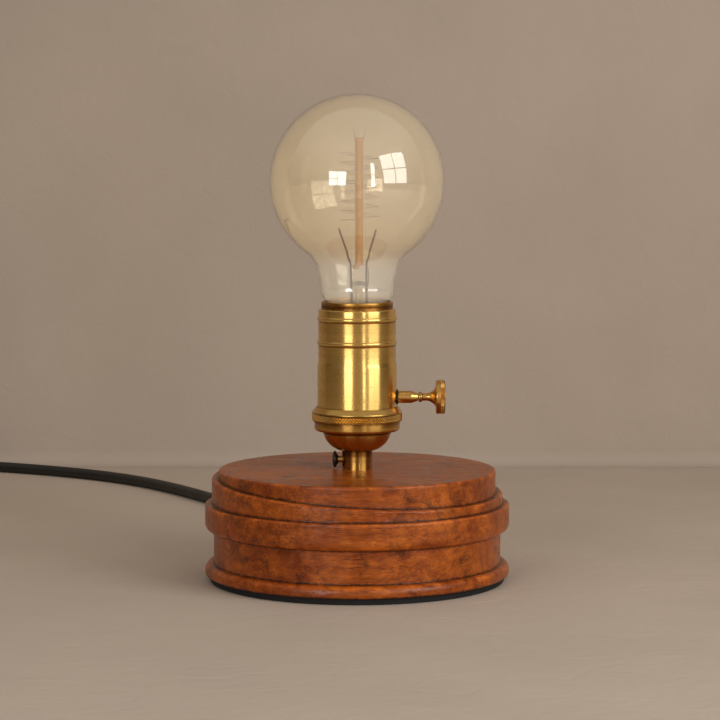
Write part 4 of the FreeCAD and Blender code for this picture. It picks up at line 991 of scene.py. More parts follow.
@dataclass
class Studio:
    """Pale table with a wall behind it, three windows and the camera of the photograph."""

    table_hex: str = "C4B5A6"
    wall_hex: str = "B4A597"
    reach: float = 5.0
    wall: float = 0.475
    bend: float = 0.012
    height: float = 1.4
    half_width: float = 2.2
    above_hex: str = "B4AEA7"
    ahead_hex: str = "95887B"
    beside_hex: str = "3A2E26"
    lens_mm: float = 119.7
    camera_at: tuple[float, float, float] = (0.00159, -1.3, 0.231)
    camera_tilt: float = 4.87

    def build(self) -> None:
        """Builds the stage, the lamps, the surroundings and the camera."""
        far = self.reach
        self.sheet("table", [(-far, 0.0), (far, 0.0)], far,
                   self.plaster("pale_table", self.table_hex))
        middle = self.bend * (1 - math.sin(math.pi / 4))
        rise = arc((self.wall - self.bend, 0.0003), (self.wall - middle, middle),
                   (self.wall, self.bend), 8)
        self.sheet("wall", [*rise, (self.wall, self.height)], self.half_width,
                   self.plaster("pale_plaster", self.wall_hex, one_sided=True))
        self.window("left_window", -25.0, 8.0, 1.35, 0.54, 0.42, 4.2)
        self.window("thin_window", 20.5, 12.0, 1.5, 0.13, 0.8, 1.7)
        self.window("right_window", 51.0, 19.0, 1.35, 0.82, 0.86, 8.9)
        self.surroundings()
        self.camera()

    def sheet(self, name: str, side: Sequence[Point], half: float,
              finish: bpy.types.Material) -> None:
        """Makes a surface of the stage, as wide to the left as to the right.

        Args:
            name: Name of the surface.
            side: Depth and height of its outline, seen from the side, in metres.
            half: Half of its width.
            finish: Its material.
        """
        shape = bmesh.new()
        rows = [[shape.verts.new((x, y, z)) for x in (-half, half)] for y, z in side]
        for low, high in zip(rows, rows[1:]):
            shape.faces.new((low[0], low[1], high[1], high[0])).smooth = True
        mesh = bpy.data.meshes.new(name)
        shape.to_mesh(mesh)
        shape.free()
        surface = bpy.data.objects.new(name, mesh)
        bpy.context.scene.collection.objects.link(surface)
        surface.data.materials.append(finish)

    def plaster(self, name: str, colour: str, one_sided: bool = False) -> bpy.types.Material:
        """Makes matt pale plaster, trowelled a little unevenly.

        Args:
            name: Name of the material.
            colour: sRGB hex value.
            one_sided: Whether the back of the surface lets everything through, so that the lamp
                can be looked at from behind the wall.

        Returns:
            The material.
        """
        made = bpy.data.materials.new(name)
        made.use_nodes = True
        tree = made.node_tree
        shader = tree.nodes["Principled BSDF"]
        where = add(tree, "ShaderNodeTexCoord").outputs["Object"]
        broad = add(tree, "ShaderNodeTexNoise", {"Vector": where}, {"Scale": 9.0, "Detail": 6.0})
        shade = add(tree, "ShaderNodeMapRange", {0: broad.outputs["Fac"]},
                    {1: 0.3, 2: 0.7, 3: 0.96, 4: 1.04}).outputs[0]
        toned = add(tree, "ShaderNodeVectorMath", {"Scale": shade}, {0: linear(colour)[:3]},
                    operation="SCALE")
        tree.links.new(toned.outputs[0], shader.inputs["Base Color"])
        shader.inputs["Roughness"].default_value = 0.85
        shader.inputs["Specular IOR Level"].default_value = 0.25
        trowel = add(tree, "ShaderNodeTexNoise", {"Vector": where},
                     {"Scale": 60.0, "Detail": 6.0, "Distortion": 1.2})
        bump = add(tree, "ShaderNodeBump", {"Height": trowel.outputs["Fac"]},
                   {"Distance": 0.0012, "Strength": 0.5})
        tree.links.new(bump.outputs[0], shader.inputs["Normal"])
        if one_sided:
            behind = add(tree, "ShaderNodeNewGeometry").outputs["Backfacing"]
            clear = add(tree, "ShaderNodeBsdfTransparent")
            mix = add(tree, "ShaderNodeMixShader", {0: behind, 1: shader.outputs[0],
                                                    2: clear.outputs[0]})
            tree.links.new(mix.outputs[0], tree.nodes["Material Output"].inputs["Surface"])
        return made

    def window(self, name: str, azimuth: float, elevation: float, distance: float, width: float,
               height: float, watts: float) -> None:
        """Hangs a softbox in the form of a window with two by two panes.

        Args:
            name: Name of the lamps.
            azimuth: Degrees from the camera's side, positive to the right.
            elevation: Degrees above the lampholder.
            distance: Distance from the lamp's axis in metres.
            width: Width of the window in metres.
            height: Height of the window in metres.
            watts: Power of the four panes together.
        """
        aim = Vector((0.0, 0.0, 0.14))
        around, up = math.radians(azimuth), math.radians(elevation)
        away = Vector((math.sin(around) * math.cos(up), -math.cos(around) * math.cos(up),
                       math.sin(up)))
        turn = away.to_track_quat("Z", "Y")
        for column in (-0.25, 0.25):
            for row in (-0.25, 0.25):
                pane = bpy.data.lights.new(name, "AREA")
                pane.shape = "RECTANGLE"
                pane.size, pane.size_y = width * 0.47, height * 0.47
                pane.energy = watts / 4
                pane.color = (1.0, 0.985, 0.96)
                lamp = bpy.data.objects.new(name, pane)
                lamp.rotation_mode = "QUATERNION"
                lamp.rotation_quaternion = turn
                offset = turn @ Vector((column * width, row * height, 0.0))
                lamp.location = aim + away * distance + offset
                bpy.context.scene.collection.objects.link(lamp)

    def surroundings(self) -> None:
        """Gives the room a warm grey, light from above and dim at both sides."""
        world = bpy.data.worlds.new("room")
        bpy.context.scene.world = world
        world.use_nodes = True
        tree = world.node_tree
        where = add(tree, "ShaderNodeTexCoord").outputs["Generated"]
        parts = add(tree, "ShaderNodeSeparateXYZ", {0: where}).outputs
        beside = add(tree, "ShaderNodeMath", {0: parts[0]}, operation="ABSOLUTE").outputs[0]
        beside = add(tree, "ShaderNodeMapRange", {0: beside}, {1: 0.5, 2: 0.85},
                     interpolation_type="SMOOTHSTEP").outputs[0]
        around = add(tree, "ShaderNodeValToRGB", {0: beside},
                     stops=((0.0, self.ahead_hex), (1.0, self.beside_hex)))
        up = add(tree, "ShaderNodeMapRange", {0: parts[2]}, {1: 0.05, 2: 0.75},
                 interpolation_type="SMOOTHSTEP").outputs[0]
        tone = add(tree, "ShaderNodeMix", {"Factor": up, 6: around.outputs[0]},
                   {7: linear(self.above_hex)}, data_type="RGBA")
        tree.links.new(tone.outputs[2], tree.nodes["Background"].inputs["Color"])
        tree.nodes["Background"].inputs["Strength"].default_value = 1.0

    def camera(self) -> None:
        """Sets the camera that matches the photograph."""
        lens = bpy.data.cameras.new("camera")
        lens.lens, lens.sensor_width = self.lens_mm, 36.0
        lens.clip_start = 0.05
        view = bpy.data.objects.new("camera", lens)
        view.location = self.camera_at
        view.rotation_euler = Euler((math.radians(90 - self.camera_tilt), 0.0, 0.0))
        bpy.context.scene.collection.objects.link(view)
        bpy.context.scene.camera = view
        bpy.context.scene.view_settings.view_transform = "Standard"


@dataclass
class MainsCord(Assembly):
    """Black round cord: strain relief, free run, tied coil and two-pin plug.

    The coil holds what the photograph doesn't show. Its turns lie in two layers of three.
    """

    radius: float = 3.7
    direction: float = 105.0
    height: float = 19.0
    relief: tuple[float, ...] = (66.5, 78.5, 81.0, 109.5)
    coil_centre: tuple[float, float] = (-335.0, 392.0)
    coil_radii: tuple[float, float, float] = (52.6, 36.6, 49.6)
    coil_turns: float = 4.19
    coil_start: float = 113.6
    turn_points: int = 16
    layer: tuple[float, float] = (4.6, 12.1)
    tie_direction: float = 40.0
    plug: tuple[float, float, float] = (-380.0, 309.0, 8.6)
    plug_taper: float = 24.0
    plug_length: float = 34.0
    run: tuple[tuple[float, float, float], ...] = (
        (-40.2, 149.5, 12.5), (-48.5, 177.0, 4.6), (-59.0, 207.0, 3.8), (-77.0, 244.0, 3.8),
        (-100.0, 285.5, 3.8), (-133.0, 341.5, 3.8), (-170.0, 385.5, 3.8), (-216.0, 419.5, 3.8),
        (-266.0, 446.0, 3.8), (-300.0, 457.0, 3.8), (-332.0, 454.0, 3.8))
    tail: tuple[tuple[float, float, float], ...] = (
        (-384.6, 370.0, 11.5), (-383.2, 349.6, 9.2), (-380.0, 329.0, 8.6), (-380.0, 309.0, 8.6))

    def way(self, reach: float) -> tuple[float, float, float]:
        """Gives the point at a distance from the axis along the cord's exit."""
        angle = math.radians(self.direction)
        return reach * math.cos(angle), reach * math.sin(angle), self.height

    def coil(self) -> list[tuple[float, float, float]]:
        """Winds the put-away length: inwards on the table, then outwards on top.

        Returns:
            Points of the turns.
        """
        outer, inner, end = self.coil_radii
        total = round(self.coil_turns * self.turn_points)
        half = total / 2
        pull = 1 / math.cos(math.pi / self.turn_points) ** 0.5
        points = []
        for step in range(total + 1):
            angle = math.radians(self.coil_start) + math.tau * step / self.turn_points
            if step < half:
                radius = outer + (inner - outer) * step / half
            else:
                radius = inner + (end - inner) * (step - half) / half
            climb = min(1.0, max(0.0, (step - half) / 5 + 0.5))
            low, high = self.layer
            height = low + (high - low) * climb * climb * (3 - 2 * climb)
            loose = 0.6 * math.sin(2 * angle + 0.7)
            points.append((self.coil_centre[0] + (radius + loose) * pull * math.cos(angle),
                           self.coil_centre[1] + (radius + loose) * pull * math.sin(angle), height))
        return points

    def build(self) -> None:
        """Builds the bush, the tie, the plug and the cord."""
        route = [self.way(self.relief[3]), self.way(self.relief[3] + 22.0), *self.run,
                 *self.coil(), *self.tail]
        cord = strand("mains_cord", [route], self.radius, roundness=5)
        bush = self.bush()
        tie = self.tie()
        body = self.plug_body()
        pins = self.pins()
        self.seat(cord, Finishes.CORD, "cord_cover", "power_cord", "cord_coil", "cord_tail")
        self.seat(bush, Finishes.BLACK_PLASTIC, "black_plastic", "cord_bush")
        self.seat(tie, Finishes.HOOK_LOOP, "black_plastic", "cord_tie")
        self.seat(body, Finishes.BLACK_PLASTIC, "black_plastic", "plug_body")
        self.seat(pins, Finishes.NICKEL, "nickel", "plug_pins")

    def bush(self) -> Thing:
        """Turns the bush with its ribbed strain relief.

        Returns:
            The piece.
        """
        start, flange, relief, tip = self.relief
        bore = self.radius + 0.05
        corners: list[tuple[float, ...]] = [
            (bore, start), (5.9, start, 0.6), (5.9, flange), (8.0, flange, 0.4),
            (8.0, relief - 0.4, 0.9), (6.6, relief)]
        ribs, groove = 6, 0.75
        for rib in range(ribs):
            here = relief + 3.0 + (tip - relief - 5.0) * rib / ribs
            outer = 6.6 - 1.9 * (here - relief) / (tip - relief)
            corners += [(outer, here, 0.3), (outer - groove, here + 0.5, 0.25),
                        (outer - groove, here + 1.7, 0.25), (outer - 0.15, here + 2.2, 0.3)]
        corners += [(4.7, tip - 1.0, 0.4), (4.5, tip), (bore, tip)]
        piece = revolve("cord_strain_relief", rounded(corners, 2.0, 3), 64)
        angle = math.radians(self.direction)
        turn = Matrix.Rotation(angle, 4, "Z") @ Matrix.Rotation(math.pi / 2, 4, "Y")
        piece.data.transform(Matrix.Translation((0, 0, self.height * MM)) @ turn)
        return piece

    def tie(self) -> Thing:
        """Wraps the tie round the coil's turns.

        Returns:
            The piece.
        """
        inner, outer, low, top, wall, half = 30.5, 57.5, 0.1, 16.55, 0.7, 6.0
        loops = []
        for inset in (0.0, wall):
            fillet = 3.5 - inset
            left, right, under, over = inner + inset, outer - inset, low + inset, top - inset
            loops.append(rounded([(left, under, fillet), (right, under, fillet),
                                  (right, over, fillet), (left, over, fillet)]))
        shape = bmesh.new()
        turn = Matrix.Translation((self.coil_centre[0] * MM, self.coil_centre[1] * MM, 0)) \
            @ Matrix.Rotation(math.radians(self.tie_direction), 4, "Z")
        rings = []
        for (out_r, out_z), (in_r, in_z) in zip(*loops):
            rings.append([shape.verts.new(turn @ Vector((r * MM, side * MM, z * MM)))
                          for r, z, side in ((out_r, out_z, -half), (out_r, out_z, half),
                                             (in_r, in_z, half), (in_r, in_z, -half))])
        for here, following in zip(rings, rings[1:] + rings[:1]):
            for one in range(4):
                two = (one + 1) % 4
                shape.faces.new((here[one], here[two], following[two], following[one]))
        return solid("coil_tie", shape)

    def plug_body(self) -> Thing:
        """Moulds the plug: ribbed relief, oval grip with finger ridges and pin sleeves.

        Returns:
            The piece.
        """
        x, y, z = self.plug
        stations = [(0.0, 4.7, 4.7, 2.0), (3.0, 4.9, 4.9, 2.0)]
        for rib in range(4):
            at = 4.0 + rib * 4.4
            size = 5.1 + rib * 0.55
            stations += [(at, size, size, 2.0), (at + 0.5, size - 0.9, size - 0.9, 2.0),
                         (at + 1.9, size - 0.8, size - 0.8, 2.0),
                         (at + 2.4, size + 0.2, size + 0.2, 2.0)]
        stations += [(22.5, 7.2, 7.0, 2.1), (25.0, 8.4, 7.4, 2.3), (27.5, 11.5, 7.9, 2.6),
                     (30.5, 14.4, 8.2, 3.0), (34.0, 16.0, 8.4, 3.4)]
        for ridge in range(5):
            at = 36.0 + ridge * 3.2
            stations += [(at, 16.2, 8.45, 3.8), (at + 0.5, 15.6, 8.45, 3.8),
                         (at + 1.5, 15.6, 8.45, 3.8), (at + 2.0, 16.3, 8.45, 3.8)]
        stations += [(53.0, 16.9, 8.5, 4.2), (57.0, 16.9, 8.5, 4.2), (57.7, 16.5, 8.1, 4.2),
                     (58.0, 15.9, 7.5, 4.2)]
        sections = [[(x + side, y - at, z + up)
                     for side, up in superellipse(wide, tall, power, 64)]
                    for at, wide, tall, power in stations]
        body = loft("two_pin_plug", sections)
        sleeves = []
        for side in (-9.5, 9.5):
            sleeve = revolve("sleeve", rounded([(2.05, -0.2), (2.4, -0.2), (2.4, 9.5, 0.12),
                                                (2.05, 9.5)]), 32)
            sleeves.append(self.pin_place(sleeve, side))
        return join("two_pin_plug", [body, *sleeves])

    def pin_place(self, piece: Thing, side: float) -> Thing:
        """Turns a pin from +Z to -Y and sets it in the plug's face.

        Args:
            piece: Pin or sleeve, made along +Z.
            side: Place beside the plug's axis.

        Returns:
            The piece.
        """
        x, y, z = self.plug
        face = Vector((x + side, y - self.plug_taper - self.plug_length, z)) * MM
        piece.data.transform(Matrix.Translation(face) @ Matrix.Rotation(math.pi / 2, 4, "X"))
        return piece

    def pins(self) -> Thing:
        """Turns the two pins with their rounded tips.

        Returns:
            The pins as one piece.
        """
        outline = rounded([(0.0, 0.0), (2.0, 0.0), (2.0, 9.6), (2.4, 9.6, 0.1), (2.4, 19.0, 1.5),
                           (0.0, 19.0)])
        return join("plug_pins_pair", [self.pin_place(revolve("pin", outline, 32), side)
                                       for side in (-9.5, 9.5)])


@dataclass
class WoodenBase(Assembly):
    """Turned and waxed base with its rubber pad.

    From the table up: a flange, a recessed band, a wide band, a ledge that was cut at a slant, and
    the flat top. The outline lies up to a third of a millimetre inside the true one, as the surface
    of old turned wood does.
    """

    pad_radius: float = 80.5
    foot: float = 3.5
    band_radius: float = 83.2
    waist_radius: float = 78.5
    ledge_radius: float = 79.5
    table_radius: float = 75.7
    flange_top: float = 10.0
    band: tuple[float, float] = (28.0, 42.4)
    ledge: tuple[float, float, float] = (52.35, -math.tan(math.radians(3.06)),
                                         math.tan(math.radians(1.9)))
    top: float = 60.7
    cavity: tuple[float, float] = (34.0, 44.0)
    pipe_hole: float = 5.05
    wide_round: float = 3.6
    small_round: float = 1.2
    bush_hole: float = 5.9
    bush_height: float = 19.0
    bush_reach: float = 66.5
    bush_direction: float = 105.0
    # Reach of the painted shade and dirt in the inside corners.
    shade_reach: float = 1.4
    wear_reach: float = 3.2

    def ledge_height(self, angle: float, radius: float) -> float:
        """Gives the height of the slanted ledge."""
        middle, along_x, along_y = self.ledge
        return middle + radius * (along_x * math.cos(angle) + along_y * math.sin(angle))

    def corners(self, angle: float) -> list[Point]:
        """Gives the base's outline at an angle, without points along its straight parts.

        Args:
            angle: Angle round the axis.

        Returns:
            Points of the closed outline.
        """
        low, high = self.band
        hollow, roof = self.cavity
        return rounded([
            (hollow, self.foot), (self.band_radius, self.foot, self.small_round),
            (self.band_radius, self.flange_top, self.wide_round),
            (self.waist_radius, self.flange_top, 0.5), (self.waist_radius, low, 0.5),
            (self.band_radius, low, self.wide_round),
            (self.band_radius, high, self.small_round), (self.ledge_radius, high, 0.4),
            (self.ledge_radius, self.ledge_height(angle, self.ledge_radius), self.small_round),
            (self.table_radius, self.ledge_height(angle, self.table_radius), 0.4),
            (self.table_radius, self.top, self.small_round),
            (self.pipe_hole, self.top), (self.pipe_hole, roof), (hollow, roof)], steps=6)

    def outline(self, angle: float) -> list[Point]:
        """Gives the worn outline at an angle, with as many points as at any other angle.

        Args:
            angle: Angle round the axis.

        Returns:
            Points of the closed outline.
        """
        points, level = self.corners(angle), self.corners(0.0)
        fine: list[Point] = []
        for index, start in enumerate(points):
            following = (index + 1) % len(points)
            end = points[following]
            outside = max(start[0], end[0]) > self.cavity[0] + 1
            length = math.dist(level[index], level[following])
            near = 0.7 / max(length, 1.0)
            parts = (0.0, near, 0.25, 0.5, 0.75, 1.0 - near) if outside and length > 2.5 else (0.0,)
            fine += [(start[0] + (end[0] - start[0]) * part,
                      start[1] + (end[1] - start[1]) * part) for part in parts]
        return [self.settle(angle, point) for point in fine]

    def settle(self, angle: float, point: Point) -> Point:
        """Moves a point of the outside a little inwards, as hand turning and wear leave it.

        Args:
            angle: Angle round the axis.
            point: Radius and height of the point.

        Returns:
            The moved point.
        """
        radius, height = point
        if radius < self.table_radius - 4.0 or height <= self.foot:
            return point
        spot = Vector((math.cos(angle) * 2.4, math.sin(angle) * 2.4, height * 0.05))
        broad = 0.5 + 0.5 * noise.noise(spot)
        dents = noise.noise(Vector((math.cos(angle) * 11.0, math.sin(angle) * 11.0, height * 0.28)))
        dent = max(0.0, dents - 0.28)
        return radius - 0.16 * broad - 0.9 * dent, height

    def build(self) -> None:
        """Builds the wood and its pad."""
        pad = revolve("rubber_pad", rounded([(0.0, 0.0), (self.pad_radius, 0.0, 0.5),
                                             (self.pad_radius, self.foot, 0.5),
                                             (0.0, self.foot)]), 192)
        self.seat(pad, Finishes.FOAM, "pad", "base_pad")
        wood = revolve("turned_wood_base", self.outline, 288)
        reach = Vector((math.cos(math.radians(self.bush_direction)),
                        math.sin(math.radians(self.bush_direction)), 0.0))
        cutter = revolve("cutter", rounded([(0.0, 0.0), (self.bush_hole, 0.0),
                                            (self.bush_hole, 24.0), (0.0, 24.0)]), 48)
        cutter.data.transform(
            Matrix.Translation((reach * self.bush_reach + Vector((0, 0, self.bush_height))) * MM)
            @ Matrix.Rotation(math.radians(self.bush_direction), 4, "Z")
            @ Matrix.Rotation(math.pi / 2, 4, "Y"))
        wood = drill(wood, cutter)
        self.mark(wood)
        self.seat(wood, Finishes.WOOD, "wood", "wood_base")

    def mark(self, wood: Thing) -> None:
        """Writes where shade and dirt are painted into corners and where the edges are rubbed pale.

        Args:
            wood: The base.
        """
        low, high = self.band
        crevice = wood.data.attributes.new("crevice", "FLOAT", "POINT")
        worn = wood.data.attributes.new("worn", "FLOAT", "POINT")
        for index, vertex in enumerate(wood.data.vertices):
            place = vertex.co / MM
            radius, angle = math.hypot(place.x, place.y), math.atan2(place.y, place.x)
            spot = (radius, place.z)
            # The inside corners get painted shade and dirt; the outer edges get real wear.
            corners = ((self.waist_radius, self.flange_top), (self.waist_radius, low),
                       (self.ledge_radius, high), (self.band_radius, self.foot),
                       (self.table_radius, self.ledge_height(angle, self.table_radius)))
            edges = ((self.band_radius - 1.0, self.flange_top - 1.0),
                     (self.band_radius - 1.0, low + 1.0),
                     (self.band_radius, high),
                     (self.ledge_radius, self.ledge_height(angle, self.ledge_radius)),
                     (self.table_radius, self.top))
            for layer, marks, reach in ((crevice, corners, self.shade_reach),
                                        (worn, edges, self.wear_reach)):
                layer.data[index].value = max(0.0, *(1 - math.dist(spot, mark) / reach
                                                     for mark in marks))


@dataclass
class Lampholder(Assembly):
    """Brass lampholder: spun cap with its neck, knurled ring, shell with two beads and rim ring."""

    neck_radius: float = 8.3
    neck: tuple[float, float] = (60.7, 70.7)
    dome: tuple[Point, Point] = ((16.6, 76.1), (18.7, 81.2))
    flange_radius: float = 23.4
    flange_top: float = 88.0
    wall: float = 1.0
    ring_radius: float = 24.7
    ring_bottom: float = 87.1
    knurl_top: float = 92.0
    ring_top: tuple[float, float] = (22.4, 94.9)
    shell_radius: float = 21.7
    upper_radius: float = 21.2
    step: float = 118.5
    shoulder: float = 148.3
    beads: tuple[float, float] = (130.0, 143.0)
    bead_half: float = 1.2
    bead_rise: float = 0.65
    rim: tuple[float, float, float] = (18.3, 19.5, 152.3)
    rim_bottom: float = 145.8
    stem: tuple[float, float] = (100.0, 2.65)
    lock: tuple[float, float] = (65.9, 2.1)
    # The real knurl looks finer. It is drawn coarser, as it is too fine for the picture.
    knurl_pitch: float = 1.7
    knurl_tooth: float = 0.62

    def build(self, knurl: Tree) -> None:
        """Builds the four pieces.

        Args:
            knurl: Geometry Nodes tree of the knurl.
        """
        self.seat(self.cap(), Finishes.DOME_BRASS, "aged_brass", "socket_cap")
        self.seat(self.ring(knurl), Finishes.KNURL_BRASS, "brass", "knurled_ring")
        self.seat(self.shell(), Finishes.BRASS, "brass", "socket_shell")
        self.seat(self.rim_ring(), Finishes.RIM_BRASS, "aged_brass", "shell_rim")

    def cap(self) -> Thing:
        """Spins the neck, dome and flange from one sheet and drills the lock screw's hole.

        Returns:
            The piece.
        """
        foot, neck_top = self.neck
        middle, brim = self.dome
        outside = [(self.neck_radius, foot), (self.neck_radius, neck_top - 0.4)]
        outside += arc((self.neck_radius, neck_top), middle, brim, 20)
        outside += [(brim[0] + 0.2, brim[1] + 0.5)]
        outside += rounded([(self.flange_radius, brim[1] + 0.6, 1.7),
                            (self.flange_radius, self.flange_top, 0.25),
                            (18.0, self.flange_top), (18.0, brim[1] + 0.6)], steps=6)[:14]
        inside = [(self.flange_radius - 2.2, self.flange_top),
                  (self.flange_radius - 2.4, brim[1] + self.wall),
                  (brim[0] - 0.6, brim[1] + self.wall)]
        inside += arc((brim[0] - self.wall, brim[1]), (middle[0] - 0.8, middle[1] + 0.7),
                      (self.neck_radius - self.wall, neck_top + 0.6), 16)
        inside += [(self.neck_radius - self.wall, foot)]
        # Painted shade where the dome meets the neck and the flange, and at the flange's top edge.
        marks = {"crevice": ((brim[0], brim[1], 2.0), (self.neck_radius, neck_top, 1.6),
                             (self.flange_radius, self.flange_top, 0.8))}
        piece = revolve("spun_brass_cap", outside + inside, 160, marks=marks)
        height, radius = self.lock
        hole = revolve("cutter", [(0.0, -11.0), (radius, -11.0), (radius, -4.0), (0.0, -4.0)],
                       32, Turned.SIDEWAYS, (0.0, 0.0, height))
        return drill(piece, hole)

    def ring(self, knurl: Tree) -> Thing:
        """Turns the ring with its bevel and cuts the knurl.

        Args:
            knurl: Geometry Nodes tree of the knurl.

        Returns:
            The piece.
        """
        base = self.ring_radius - self.knurl_tooth
        low, high = self.ring_bottom, self.knurl_top
        top_radius, top = self.ring_top
        skirt, gap = self.flange_radius + 0.05, self.shell_radius + 0.35
        outline = rounded([
            (self.shell_radius, self.flange_top), (skirt, self.flange_top), (skirt, low),
            (self.ring_radius - 0.55, low, 0.15), (self.ring_radius - 0.3, low + 0.3),
            (base, low + 0.35), (base, high - 0.45),
            (self.ring_radius, high - 0.3, 0.15), (self.ring_radius - 0.1, high + 0.2, 0.4),
            (top_radius, top, 0.35), (gap, top), (gap, top - 1.3), (self.shell_radius, top - 1.3)],
            0.6, 4)
        middle, half = (low + high) / 2, (high - low) / 2
        # Painted shade between the knurl's teeth, at the knurl's edges and in the ring's bore.
        marks = {"crevice": ((base, middle, half + 0.4), (base, low + 1.0, 1.6),
                             (base, high - 1.0, 1.4), (gap, top - 1.0, 1.0))}
        piece = revolve("knurled_brass_ring", outline, 192, marks=marks)
        around = round(math.tau * base / self.knurl_pitch)
        rows = round((high - low - 1.4) / (self.knurl_pitch / 2))
        return grow(piece, knurl, Finishes.KNURL_BRASS, Radius=(base - 0.02) * MM,
                    Start=(low + 1.0) * MM, Pitch=self.knurl_pitch * MM,
                    Tooth=self.knurl_tooth * MM, Around=around, Rows=rows)

    def shell(self) -> Thing:
        """Draws the shell with its step, two rolled beads and shoulder.

        Returns:
            The piece.
        """
        outside = [(self.shell_radius, self.flange_top), (self.shell_radius, self.step - 1.1),
                   (self.shell_radius - 0.04, self.step - 0.85),
                   (self.upper_radius + 0.03, self.step + 0.75),
                   (self.upper_radius, self.step + 1.0)]
        for bead in self.beads:
            outside += [(self.upper_radius, bead - self.bead_half - 0.75),
                        (self.upper_radius - 0.25, bead - self.bead_half - 0.35)]
            outside += arc((self.upper_radius, bead - self.bead_half),
                           (self.upper_radius + self.bead_rise, bead),
                           (self.upper_radius, bead + self.bead_half), 10)
            outside += [(self.upper_radius, bead + self.bead_half + 0.5)]
        outside += arc((self.upper_radius, self.shoulder - 1.0),
                       (self.upper_radius - 0.3, self.shoulder - 0.3),
                       (self.upper_radius - 1.0, self.shoulder), 6)
        rim = self.rim[1] + 0.04
        bore, upper_bore = self.shell_radius - self.wall, self.upper_radius - self.wall
        inside = [(rim, self.shoulder), (rim, self.shoulder - self.wall),
                  (upper_bore, self.shoulder - self.wall), (upper_bore, self.step - 0.6),
                  (bore, self.step - 1.1), (bore, self.flange_top)]
        # Painted shade under each bead and where the shell leaves the ring.
        spots = [(self.upper_radius - 0.2, bead - self.bead_half - 0.3, 0.6)
                 for bead in self.beads]
        marks = {"crevice": (*spots, (self.shell_radius, self.ring_top[1] - 0.2, 0.9))}
        piece = revolve("drawn_brass_shell", outside + inside, 192, marks=marks)
        height, radius = self.stem
        hole = revolve("cutter", [(0.0, 15.0), (radius, 15.0), (radius, 24.0), (0.0, 24.0)],
                       32, Turned.SIDEWAYS, (0.0, 0.0, height))
        return drill(piece, hole)

    def rim_ring(self) -> Thing:
        """Rolls the rim ring round the bulb's neck.

        Returns:
            The piece.
        """
        bore, radius, top = self.rim
        half = (radius - bore) / 2
        outline = [(bore, self.rim_bottom), (self.upper_radius - self.wall - 0.04, self.rim_bottom),
                   (self.upper_radius - self.wall - 0.04, self.shoulder - self.wall - 0.03),
                   (radius, self.shoulder - self.wall - 0.03)]
        outline += [(radius, self.shoulder + 1.0), (radius - 0.12, self.shoulder + 1.35),
                    (radius, self.shoulder + 1.7)]
        outline += arc((radius, top - half), (bore + half, top), (bore, top - half), 10)
        # Painted shade where the ring meets the shell's shoulder and inside its bore.
        marks = {"crevice": ((radius, self.shoulder, 1.3), (bore, top - 3.0, 3.0))}
        return revolve("rolled_rim_ring", outline, 160, marks=marks)


@dataclass
class LockScrew(Assembly):
    """Lock screw in the neck: threaded brass shank and black slotted head."""

    height: float = 65.9
    shank: tuple[float, float, float] = (2.0, -10.3, -5.3)
    pitch: float = 0.7
    head: tuple[float, float, float, float] = (2.2, 4.5, -10.3, -13.5)
    slot_width: float = 0.9
    slot_depth: float = 0.9

    def build(self) -> None:
        """Builds the shank and the head."""
        radius, outer, inner = self.shank
        count = round((inner - outer) / 0.1)

        def thread(angle: float) -> list[Point]:
            """Gives the shank's outline at an angle, with its thread.

            Args:
                angle: Angle round the axis.

            Returns:
                Points of the closed outline.
            """
            points = [(0.0, outer)]
            for step in range(count + 1):
                place = outer + (inner - outer) * step / count
                phase = math.tau * place / self.pitch - angle
                points.append((radius - 0.1 + 0.1 * math.cos(phase), place))
            return [*points, (0.0, inner)]

        shank = revolve("lock_screw_shank", thread, 32, Turned.SIDEWAYS, (0.0, 0.0, self.height))
        self.seat(shank, Finishes.CONTACT_BRASS, "brass", "lock_shank", body="lock_shank")
        neck, rim, start, end = self.head
        outline = [(0.0, start), *rounded([(neck, start), (rim, start - 1.5, 0.35),
                                           (rim, end + 0.9, 0.3), (rim - 0.6, end + 0.55),
                                           (0.1, end), (0.1, start)], steps=4)[:-2]]
        outline += arc((rim - 0.7, end + 0.5), (2.2, end + 0.12), (0.0, end), 8)[1:]
        head = revolve("lock_screw_head", outline, 64, Turned.SIDEWAYS, (0.0, 0.0, self.height))
        bpy.ops.mesh.primitive_cube_add(size=1.0)
        slot = bpy.context.object
        middle = Vector((end - 1.0 + self.slot_depth, 0, self.height)) * MM
        slot.data.transform(Matrix.Translation(middle)
                            @ Matrix.Rotation(math.radians(24), 4, "X")
                            @ Matrix.Diagonal((2 * MM, self.slot_width * MM, 14 * MM, 1.0)))
        head = drill(head, slot)
        self.seat(head, Finishes.BLACK_METAL, "black_metal", "lock_head", body="lock_head")


